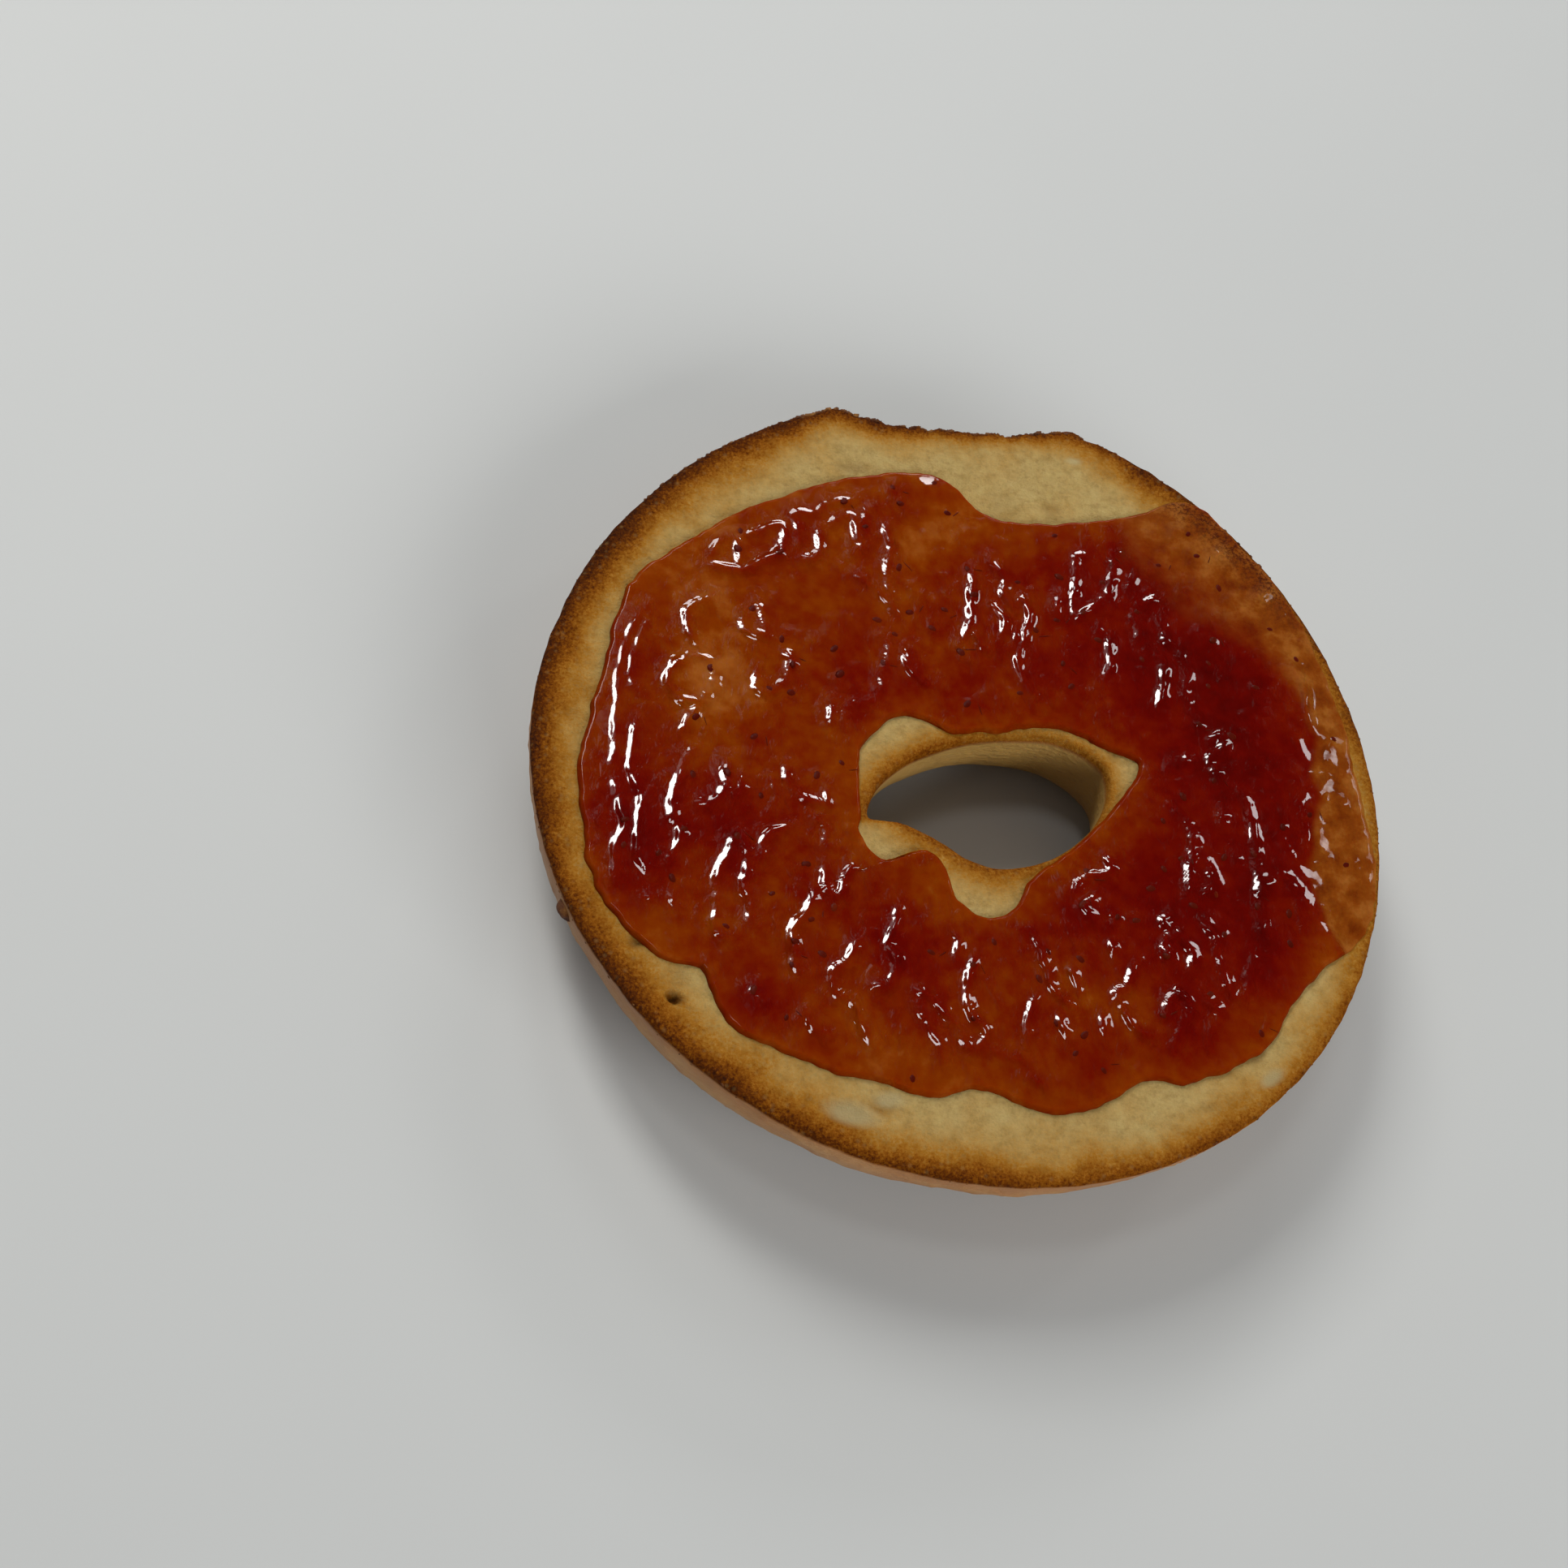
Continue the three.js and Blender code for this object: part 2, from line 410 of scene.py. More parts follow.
def bread_material(look):
    """Crumb, toasting, crust, torn crumb and hole wall, told apart by the mesh's own masks."""
    material, tree, shader = new_material("toasted_bread")
    grain = use_group(tree, grain_group(), Cloud_Size=5.0, Grain_Size=0.45, Speck_Size=0.85)
    cloud, fine, specks = (grain.outputs[name] for name in ("Cloud", "Grain", "Specks"))
    toast, face, torn, pit, pale, bake, inner = (
        attribute(tree, name) for name in ("toast", "face", "torn", "pit", "pale", "bake", "inner"))

    # Toasting: browner towards the rim, uneven, and speckled where it is darkest.
    grit = texture_noise(tree, 0.34, detail=3.0, roughness=0.75)
    uneven = stirred(tree, toast, cloud, 0.28)
    speckled = stirred(tree, stirred(tree, uneven, fine, 0.45), grit, 0.95)
    toasted = sums(tree, "SUBTRACT", toast, 0.05, clamp=True)
    share = sums(tree, "MULTIPLY_ADD", toasted, 1.4, 0.25, clamp=True)
    speckled_part = sums(tree, "MULTIPLY", speckled, share)
    plain_part = sums(tree, "MULTIPLY", uneven, sums(tree, "SUBTRACT", 1.0, share))
    browned = sums(tree, "ADD", speckled_part, plain_part, clamp=True)
    crumb = ramp(tree, browned, (
        (0.0, look.crumb_colour), (0.2, (0.46, 0.265, 0.070)), (0.4, (0.39, 0.165, 0.018)),
        (0.60, look.toast_colour), (0.80, (0.115, 0.026, 0.002)), (1.0, look.char_colour)))

    # Crumb: painted shade in its pits and in its small speck dents, mottled, and pale where it was pressed.
    # Painted shade: the pit mask multiplies the crumb darker inside its pits and pores.
    shade = sums(tree, "MULTIPLY", pit, 0.75, clamp=True)
    crumb = mix_colour(tree, shade, crumb, (0.36, 0.22, 0.09, 1.0), "MULTIPLY")
    wider = sums(tree, "MULTIPLY", texture_noise(tree, 1.2, detail=3.0), 0.5)
    mottle = sums(tree, "MULTIPLY_ADD", grit, 0.5, wider)
    light_and_dark = ramp(tree, mottle, (
        (0.32, (0.60, 0.53, 0.40)), (0.5, (1.0, 1.0, 1.0)), (0.64, (1.2, 1.26, 1.4))))
    crumb = mix_colour(tree, 0.65, crumb, light_and_dark, "MULTIPLY")
    # Painted shade: the small round speck dents are darkened here, as shade inside them.
    crumb = mix_colour(tree, sums(tree, "MULTIPLY", specks, 0.3), crumb, (0.30, 0.18, 0.06, 1.0))
    crumb = mix_colour(tree, sums(tree, "MULTIPLY", pale, 0.7), crumb, (0.50, 0.41, 0.21, 1.0))

    # Baked crust: golden tan, mottled, browner underneath and near the cut.
    mottled = stirred(tree, stirred(tree, bake, cloud, 0.9), fine, 0.22, clamp=True)
    crust = ramp(tree, mottled, (
        (0.0, (0.50, 0.285, 0.125)), (0.35, look.crust_colour), (0.65, (0.30, 0.125, 0.036)),
        (1.0, (0.15, 0.042, 0.010))))
    hole_wall = ramp(tree, mottled, (
        (0.15, (0.42, 0.25, 0.070)), (0.5, (0.33, 0.18, 0.040)), (0.9, (0.20, 0.085, 0.015))))
    crust = mix_colour(tree, inner, crust, hole_wall)
    torn_crumb = ramp(tree, stirred(tree, 0.4, fine, 0.8, clamp=True), (
        (0.0, (0.34, 0.16, 0.045)), (0.5, (0.47, 0.285, 0.11)), (1.0, (0.54, 0.37, 0.17))))
    crust = mix_colour(tree, torn, crust, torn_crumb)
    plug(tree, shader.inputs["Base Color"], mix_colour(tree, face, crust, crumb))

    # Open crumb is rough; crust has a baked sheen.
    crumby = sums(tree, "MAXIMUM", face, torn)
    dull = spread(tree, crumby, 0.0, 1.0, look.crust_roughness, 0.92)
    plug(tree, shader.inputs["Roughness"], sums(tree, "MULTIPLY_ADD", fine, 0.1, dull))
    crusty = sums(tree, "SUBTRACT", 1.0, crumby)
    sheen = sums(tree, "MULTIPLY", crusty, spread(tree, cloud, 0.35, 0.65, 0.12, 0.40))
    plug(tree, shader.inputs["Coat Weight"], sheen)
    shader.inputs["Coat Roughness"].default_value = 0.34

    # Fine relief: pores and specks in the crumb, skin wrinkles on the crust.
    pores = texture_noise(tree, 0.32, detail=4.0, roughness=0.7)
    skin = texture_noise(tree, 1.1, detail=5.0, roughness=0.6, stretch=(1, 1, 1.8))
    rough_height = sums(tree, "MULTIPLY", pores, sums(tree, "MULTIPLY", crumby, 1.5))
    smooth_height = sums(tree, "MULTIPLY", skin, sums(tree, "MULTIPLY_ADD", crumby, -1.8, 1.8))
    speck_depth = sums(tree, "MULTIPLY", specks, sums(tree, "MULTIPLY", crumby, 0.4))
    height = sums(tree, "SUBTRACT", sums(tree, "ADD", rough_height, smooth_height), speck_depth)
    plug(tree, shader.inputs["Normal"], bump(tree, height, 0.28))
    shader.inputs["Subsurface Weight"].default_value = 0.22
    shader.inputs["Subsurface Radius"].default_value = (1.6, 0.8, 0.35)
    shader.inputs["Subsurface Scale"].default_value = MM
    shader.inputs["Specular IOR Level"].default_value = 0.07
    return material


# ---------------------------------------------------------------- bread shape

# Rings across the face lie close together where the crumb shows and far apart under the jam.
OUTER_BAND, INNER_BAND = 13.0, 7.5
OUTER_RINGS, MIDDLE_RINGS, INNER_RINGS = 46, 10, 26
CRUST_STEPS, HOLE_STEPS, BASE_RINGS = 32, 24, 4
CRUST_ROUNDING, HOLE_ROUNDING = 2.15, 2.7
TORN_DIRECTION, TORN_HALF_WIDTH = 90, 16.5
WEST, SOUTH_WEST = 165, 225


def face_shares(width):
    """How far from the hole (0) to the rim (1) each ring of the face lies, for each direction."""
    columns = [k / INNER_RINGS * INNER_BAND / width for k in range(INNER_RINGS)]
    for k in range(MIDDLE_RINGS):
        share = k / MIDDLE_RINGS
        columns.append((1 - share) * INNER_BAND / width + share * (1 - OUTER_BAND / width))
    for k in range(OUTER_RINGS + 1):
        columns.append(1 - OUTER_BAND / width * (1 - k / OUTER_RINGS))
    return np.stack(columns, 1)


def wall(edge, base, rounding, steps):
    """Rings from just under the cut face down to the base ring."""
    turn = (1 - np.arange(1, steps + 1) / steps) * math.pi / 2
    out = np.sin(turn) ** (2 / rounding)
    up = FACE_HEIGHT * (1 - np.cos(turn) ** (2 / rounding))
    points = base[:, None] + (edge - base)[:, None] * out[None, :, None]
    return points, np.broadcast_to(up, points.shape[:2])


class BreadGrid:
    """The bread's plain shape as points in [around, row] order, and where each point lies on it."""

    def __init__(self, around):
        ring = Ring(around)
        rim = polar(RIM_MIDDLE, ring.rim, ring.angles)
        hole = polar(HOLE_MIDDLE, ring.hole, ring.angles)
        base_rim = polar(RIM_MIDDLE, ring.base_rim, ring.angles)
        base_hole = polar(HOLE_MIDDLE, ring.base_hole, ring.angles)
        width = np.linalg.norm(rim - hole, axis=1)

        across = face_shares(width)
        face = hole[:, None] + (rim - hole)[:, None] * across[..., None]
        outer, outer_z = wall(rim, base_rim, CRUST_ROUNDING, CRUST_STEPS)
        inner, inner_z = wall(hole, base_hole, HOLE_ROUNDING, HOLE_STEPS)
        base_share = np.arange(1, BASE_RINGS + 1) / (BASE_RINGS + 1)
        base = base_rim[:, None] + (base_hole - base_rim)[:, None] * base_share[None, :, None]
        flat = np.concatenate([face, outer, base, inner[:, ::-1]], 1)
        face_z = np.full(across.shape, FACE_HEIGHT)
        height = np.concatenate([face_z, outer_z, np.zeros(base.shape[:2]), inner_z[:, ::-1]], 1)
        self.points = np.dstack([flat, height])
        self.shape = self.points.shape[:2]

        self.face_rows = face.shape[1]
        row = np.arange(self.shape[1])
        self.on_face = row < self.face_rows
        self.on_outer = (row >= self.face_rows) & (row < self.face_rows + CRUST_STEPS)
        self.on_inner = row >= self.face_rows + CRUST_STEPS + BASE_RINGS

        self.theta = np.broadcast_to(ring.angles[:, None], self.shape)
        self.degrees = np.degrees(self.theta) % 360
        below = ((0, 0), (0, self.shape[1] - self.face_rows))
        share = np.pad(across, below, constant_values=1)
        self.from_rim = (1 - share) * width[:, None]
        self.from_hole = share * width[:, None]
        self.depth_down = FACE_HEIGHT - self.points[..., 2]
        away = np.angle(np.exp(1j * (self.theta - math.radians(TORN_DIRECTION))))
        self.torn_side = np.exp(-((away / math.radians(TORN_HALF_WIDTH)) ** 6))
        self.rough = self.noise(1.5, seed=33, layers=3)
        self.lumps = self.noise(19.0, seed=41, layers=2)
        self.wrinkles = self.noise(5.0, seed=47, layers=3, squash=3.2)
        self.pores = self.pits(1.5, 0.22, seed=5) * 0.14 + self.pits(0.9, 0.3, seed=9) * 0.08
        self.pores = self.pores + self.pits(5.2, 0.10, seed=15) * 0.3

    def places(self, squash=1.0):
        """All points in one list, with heights multiplied by squash."""
        return self.points.reshape(-1, 3) * np.array([1, 1, squash])

    def noise(self, size, seed, layers, squash=1.0):
        return layered_noise(self.places(squash), size, seed=seed, layers=layers).reshape(self.shape)

    def pits(self, spacing, share, seed):
        return cell_pits(self.places(), spacing, share, seed=seed).reshape(self.shape)

    def spot(self, spot):
        return bump_at(self.points[..., 0], self.points[..., 1], spot)

    def toward(self, direction):
        """1 in one direction, in degrees, falling to 0 on the opposite side."""
        return 0.5 + 0.5 * np.cos(self.theta - math.radians(direction))

    def outward_normal(self):
        """The direction out of the plain shape at each point."""
        along = np.roll(self.points, -1, 1) - np.roll(self.points, 1, 1)
        about = np.roll(self.points, -1, 0) - np.roll(self.points, 1, 0)
        normal = np.cross(about, along)
        normal /= np.linalg.norm(normal, axis=2, keepdims=True) + 1e-9
        return normal if normal[0, self.face_rows // 2, 2] >= 0 else -normal


def toast_map(grid):
    """How toasted each point is: from the rim inwards by the TOASTING table, and around the hole."""
    ragged = grid.noise(7.0, seed=21, layers=4)
    directions, reaches, darks = (np.array(column) for column in zip(*TOASTING))
    falls, shares = (np.array(column) for column in zip(*TOAST_FALL))
    reach = np.interp(grid.degrees, directions, reaches) * (1 + 0.25 * ragged)
    rim_toast = np.interp(grid.from_rim / reach, falls, shares) * np.interp(grid.degrees, directions, darks)
    south = grid.toward(SOUTH_WEST)
    hole_toast = np.exp(-((grid.from_hole / (1.9 + 1.7 * south)) ** 1.6)) * (0.48 + 0.22 * south)
    return np.maximum(rim_toast, hole_toast) + 0.05 * ragged


def spot_depths(grid):
    """How deep the named spots of the crumb go."""
    depth = np.zeros(grid.shape)
    for spot in CRUMB_SPOTS:
        depth = np.maximum(depth, spot[5] * np.clip(1.5 * grid.spot(spot) - 0.2, 0, 1))
    return depth


def pale_map(grid):
    """Where the crumb was pressed pale."""
    pale = np.zeros(grid.shape)
    for spot in PALE_SPOTS:
        pale = np.maximum(pale, np.clip(1.8 * grid.spot(spot) - 0.4, 0, 1))
    return pale


def face_lift(grid, toast, spots):
    """Rise of the cut face: a slow swell, open pores, named spots and a drop at both edges."""
    swell = face_swell(grid.points[..., 0].ravel(), grid.points[..., 1].ravel()).reshape(grid.shape)
    toasted = np.clip(toast, 0, 1)
    lift = swell + 0.05 * grid.rough * (1 + 1.8 * toasted) - grid.pores * (1 - 0.5 * toasted)
    edge_drop = 0.55 * np.exp(-grid.from_rim / 0.45) + 0.5 * np.exp(-grid.from_hole / 0.5)
    return lift - spots - edge_drop


def wall_inset(grid, torn_wall):
    """How far the crust and the hole's wall lie inside the solid model, fading out at the base."""
    creases = np.abs(smooth_noise(grid.places(3.2) / 7.5, seed=53).reshape(grid.shape))
    crust_in = 0.45 + 0.35 * grid.lumps + 0.11 * grid.wrinkles - 0.16 * np.exp(-creases / 0.06)
    torn_in = 0.7 + 0.55 * grid.rough + 0.5 * grid.lumps + 1.3 * grid.pores
    outer_in = crust_in * (1 - torn_wall) + torn_in * torn_wall
    inner_in = 0.25 + 0.22 * grid.lumps + 0.10 * grid.wrinkles
    fade_to_base = ease(0, 2.2, grid.points[..., 2])
    return (np.where(grid.on_outer, outer_in, 0) + np.where(grid.on_inner, inner_in, 0)) * fade_to_base


def rim_shift(grid):
    """Outward shift near the rim: crumbled edge, ragged torn side and its two proud corners."""
    crumble = grid.noise(2.2, seed=61, layers=3) * (0.12 + 0.50 * grid.torn_side)
    fine = smooth_noise(grid.places() / 0.75, seed=67).reshape(grid.shape)
    crumble = crumble + 0.30 * fine * grid.torn_side
    for corner in TORN_CORNERS:
        crumble = crumble + 0.8 * np.exp(-(((grid.degrees - corner) / 1.8) ** 2))
    crumble = crumble * np.exp(-((grid.from_rim / 1.4) ** 2) - (grid.depth_down / 2.2) ** 2)
    drawn_in = 0.28 * np.exp(-((grid.from_rim / 2.5) ** 2)) * grid.on_face
    return crumble * (grid.on_face | grid.on_outer) - drawn_in


def round_corners(points, corners, reach=2, passes=3):
    """Softens the rings on each side of the sharp corners where the knife met the crust."""
    rows = points.shape[1]
    for corner in corners:
        picked = np.arange(corner - reach, corner + reach + 1) % rows
        for _ in range(passes):
            before, after = points[:, (picked - 1) % rows], points[:, (picked + 1) % rows]
            points[:, picked] = points[:, picked] * 0.5 + (before + after) * 0.25


def build_bread(settings):
    """The baked half: one closed mesh of cut face, crust, base ring and hole wall."""
    grid = BreadGrid(settings.around)
    toast = toast_map(grid)
    spots = spot_depths(grid)
    torn_wall = grid.torn_side * ease(0.5, 4.5, grid.points[..., 2] - 3.0)
    moved = grid.points.copy()
    moved[..., 2] += np.where(grid.on_face, face_lift(grid, toast, spots), 0)
    moved -= grid.outward_normal() * wall_inset(grid, torn_wall)[..., None]
    outward = np.dstack([np.cos(grid.theta), np.sin(grid.theta), np.zeros(grid.shape)])
    moved += outward * rim_shift(grid)[..., None]
    round_corners(moved, (grid.face_rows - 1, 0))
    moved[..., 2] = np.maximum(moved[..., 2], 0)
    moved[..., :2] = np.clip(moved[..., :2], BOX_LOW[:2], BOX_HIGH[:2])
    piece = ring_mesh("bread", moved)

    everywhere = np.ones(grid.shape)
    soft = np.clip(1 - grid.depth_down / 0.9, 0, 1) * (grid.on_outer | grid.on_inner)
    paint(piece, "face", np.maximum(grid.on_face * everywhere, soft))
    paint(piece, "toast", np.clip(toast, 0, 1.2))
    paint(piece, "torn", torn_wall * grid.on_outer)
    paint(piece, "pale", pale_map(grid) * grid.on_face)
    paint(piece, "inner", grid.on_inner * everywhere)
    # The pit mask marks the crumb's pits and pores, where the material paints shade.
    paint(piece, "pit", np.clip(spots * 1.2 + grid.pores * 0.9, 0, 1))
    under = 1 - ease(0.0, 7.0, grid.points[..., 2])
    near_cut = np.exp(-grid.depth_down / 1.1) * (0.12 + 0.35 * grid.toward(WEST))
    bake = 0.28 + 0.38 * under + near_cut + 0.18 * grid.lumps - 0.22 * grid.on_inner
    paint(piece, "bake", np.clip(bake, 0, 1))
    piece.data.materials.append(bread_material(settings))
    return piece


# ---------------------------------------------------------------- jam

# The jam's outlines are read this high, and its underside lies a little way into the crumb.
JAM_OUTLINE_HEIGHT = FACE_HEIGHT + 0.1
JAM_UNDERSIDE = FACE_HEIGHT - 0.55

# Width and height of the rounded lip at the jam's edge, and its height where the jam is wiped thin.
LIP_WIDTH, LIP_HEIGHT, FILM_LIP_HEIGHT = 0.55, 0.64, 0.10

# The jam stays this far below the solid model's top, and its peaks are eased down over the knee.
TOP_MARGIN, KNEE = 0.12, 0.45

# Where the jam lies deep (positive) or thin (negative): x, y, half width, half length, turn, depth.
JAM_POOLS = (
    (27.0, 9.0, 18.0, 30.0, 8, 0.50),
    (33.0, 9.0, 9.0, 15.0, 5, 0.30),
    (37.0, -10.0, 6.0, 12.0, 5, 0.22),
    (20.0, 31.0, 8.0, 6.0, 0, 0.20),
    (23.0, -32.0, 5.0, 4.0, 0, 0.45),
    (27.0, -18.0, 14.0, 13.0, 0, 0.30),
    (-40.0, -13.0, 5.0, 8.0, 0, 0.55),
    (-42.0, 8.0, 3.0, 9.0, 0, 0.30),
    (-28.0, -10.0, 9.0, 3.5, 0, 0.36),
    (-26.4, -32.0, 3.4, 2.8, 0, 0.60),
    (-12.0, -11.0, 5.0, 4.0, 0, 0.20),
    (2.0, 8.0, 14.0, 2.6, 0, 0.32),
    (-30.0, 11.0, 9.0, 10.0, 0, -0.60),
    (-16.0, 4.0, 7.0, 7.0, 0, -0.22),
    (-30.0, 26.0, 6.0, 4.0, 40, -0.25),
    (-10.0, 22.0, 12.0, 8.0, 0, -0.15),
    (0.0, 34.0, 9.0, 3.6, -10, -0.45),
    (-18.0, -34.0, 7.0, 5.0, 0, -0.30),
    (6.0, -28.0, 8.0, 6.0, 0, -0.15),
    (-22.0, -22.0, 9.0, 5.0, 0, -0.20),
    (17.5, -29.5, 3.0, 4.5, 0, -0.60),
    (33.0, -28.0, 4.0, 4.0, 0, -0.25),
    (-12.0, 34.0, 7.0, 5.0, 0, -0.2),
    (-3.0, 39.6, 3.2, 2.0, -20, -0.75),
    (-14.0, 4.5, 2.6, 3.6, 20, 0.75),
    (-8.0, 11.0, 4.0, 2.0, 30, 0.30),
    (-24.0, 22.0, 6.0, 4.0, 0, -0.40),
    (-4.0, 29.5, 4.0, 4.0, 0, -0.45),
    (-31.0, 5.0, 3.6, 10.0, 0, -0.28),
    (-45.0, 12.0, 2.0, 7.0, 0, 0.60),
    (-44.5, -8.0, 2.0, 5.0, 0, 0.45),
    (-13.0, -20.0, 3.0, 3.5, 0, 0.50),
    (-8.0, -25.0, 3.4, 3.4, 0, 0.40),
    (10.0, -19.0, 3.0, 3.0, 0, 0.40),
    (35.0, -24.0, 3.5, 4.0, 0, 0.40),
)

# Fruit pieces under the surface: x, y, half width, half length, turn, height.
FRUIT_LUMPS = (
    (-3.2, 39.4, 3.6, 2.3, -20, 1.25),
    (37.4, 11.2, 2.6, 2.8, 0, 0.5),
    (-30.5, -5.0, 2.6, 3.2, -30, 0.45),
    (-33.5, 9.2, 2.4, 3.0, 0, 0.4),
    (22.6, -29.5, 2.4, 2.6, 0, 0.5),
    (13.0, -17.0, 2.6, 2.4, 0, 0.4),
    (-27.5, -31.5, 3.2, 2.6, 10, 0.5),
    (-6.5, 13.4, 2.2, 1.8, 0, 0.35),
    (27.0, -12.0, 2.0, 3.6, 0, 0.4),
    (4.0, 20.5, 2.4, 2.6, 0, 0.4),
    (-25.0, 16.0, 1.8, 2.6, 0, 0.35),
    (-16.0, -15.0, 1.8, 2.6, 0, 0.35),
    (35.5, -12.5, 1.8, 2.0, 0, 0.35),
    (-39.0, -13.0, 2.0, 3.6, 0, 0.3),
    (-12.0, -26.0, 1.6, 3.4, -15, 0.3),
    (22.0, 15.5, 2.4, 2.6, 0, 0.35),
)


# The line where thick jam ends and the wiped film starts, by direction about the ring's middle:
# angle, radius, how softly the depth falls there and how softly the colour changes.
FILM_EDGE = (
    (-28, 53.0, 1.5, 0.7), (-22, 46.0, 1.8, 0.7), (-14, 42.6, 3.4, 0.9), (-7, 42.4, 3.6, 0.9),
    (-1, 44.2, 3.6, 0.9), (4, 43.6, 3.6, 0.9), (10, 45.2, 3.6, 1.0), (17, 45.4, 4.0, 1.6),
    (27, 44.2, 4.0, 3.0), (37, 42.0, 6.0, 6.0), (47, 41.5, 7.0, 7.0), (56, 42.0, 6.0, 6.0),
    (61, 44.5, 4.0, 4.0), (64, 53.0, 4.0, 4.0),
)


def deep_colour_map(x, y):
    """How deep the jam looks, from its pools."""
    flat = level(x, y)
    depth = 1.14 + 0.20 * layered_noise(flat * np.array([1.0, 0.6, 1.0]), 9.0, seed=83, layers=3)
    for pool in JAM_POOLS:
        depth = depth + pool[5] * bump_at(x, y, pool)
    return np.clip(depth, 0.3, 2.1)


def film_share(x, y):
    """How far the jam is wiped thin out to the rim on the +X side, for its depth and for its colour."""
    angle = np.degrees(np.arctan2(y - RIM_MIDDLE[1], x - RIM_MIDDLE[0]))
    radius = np.hypot(x - RIM_MIDDLE[0], y - RIM_MIDDLE[1])
    angles, radii, depth_soft, colour_soft = (np.array(column) for column in zip(*FILM_EDGE))
    beyond = radius - np.interp(angle, angles, radii)
    beyond = beyond + 0.8 * layered_noise(level(x, y), 5.0, seed=71, layers=2)
    return [ease(-1.0, 1.0, beyond / np.interp(angle, angles, soft)) for soft in (depth_soft, colour_soft)]


def jam_relief(x, y):
    """Depth of the jam away from its edge."""
    flat = level(x, y)
    depth = 0.84 + 0.05 * layered_noise(flat, 16.0, seed=81, layers=2)
    for pool in JAM_POOLS:
        depth = depth + 0.24 * pool[5] * bump_at(x, y, pool)
    return depth


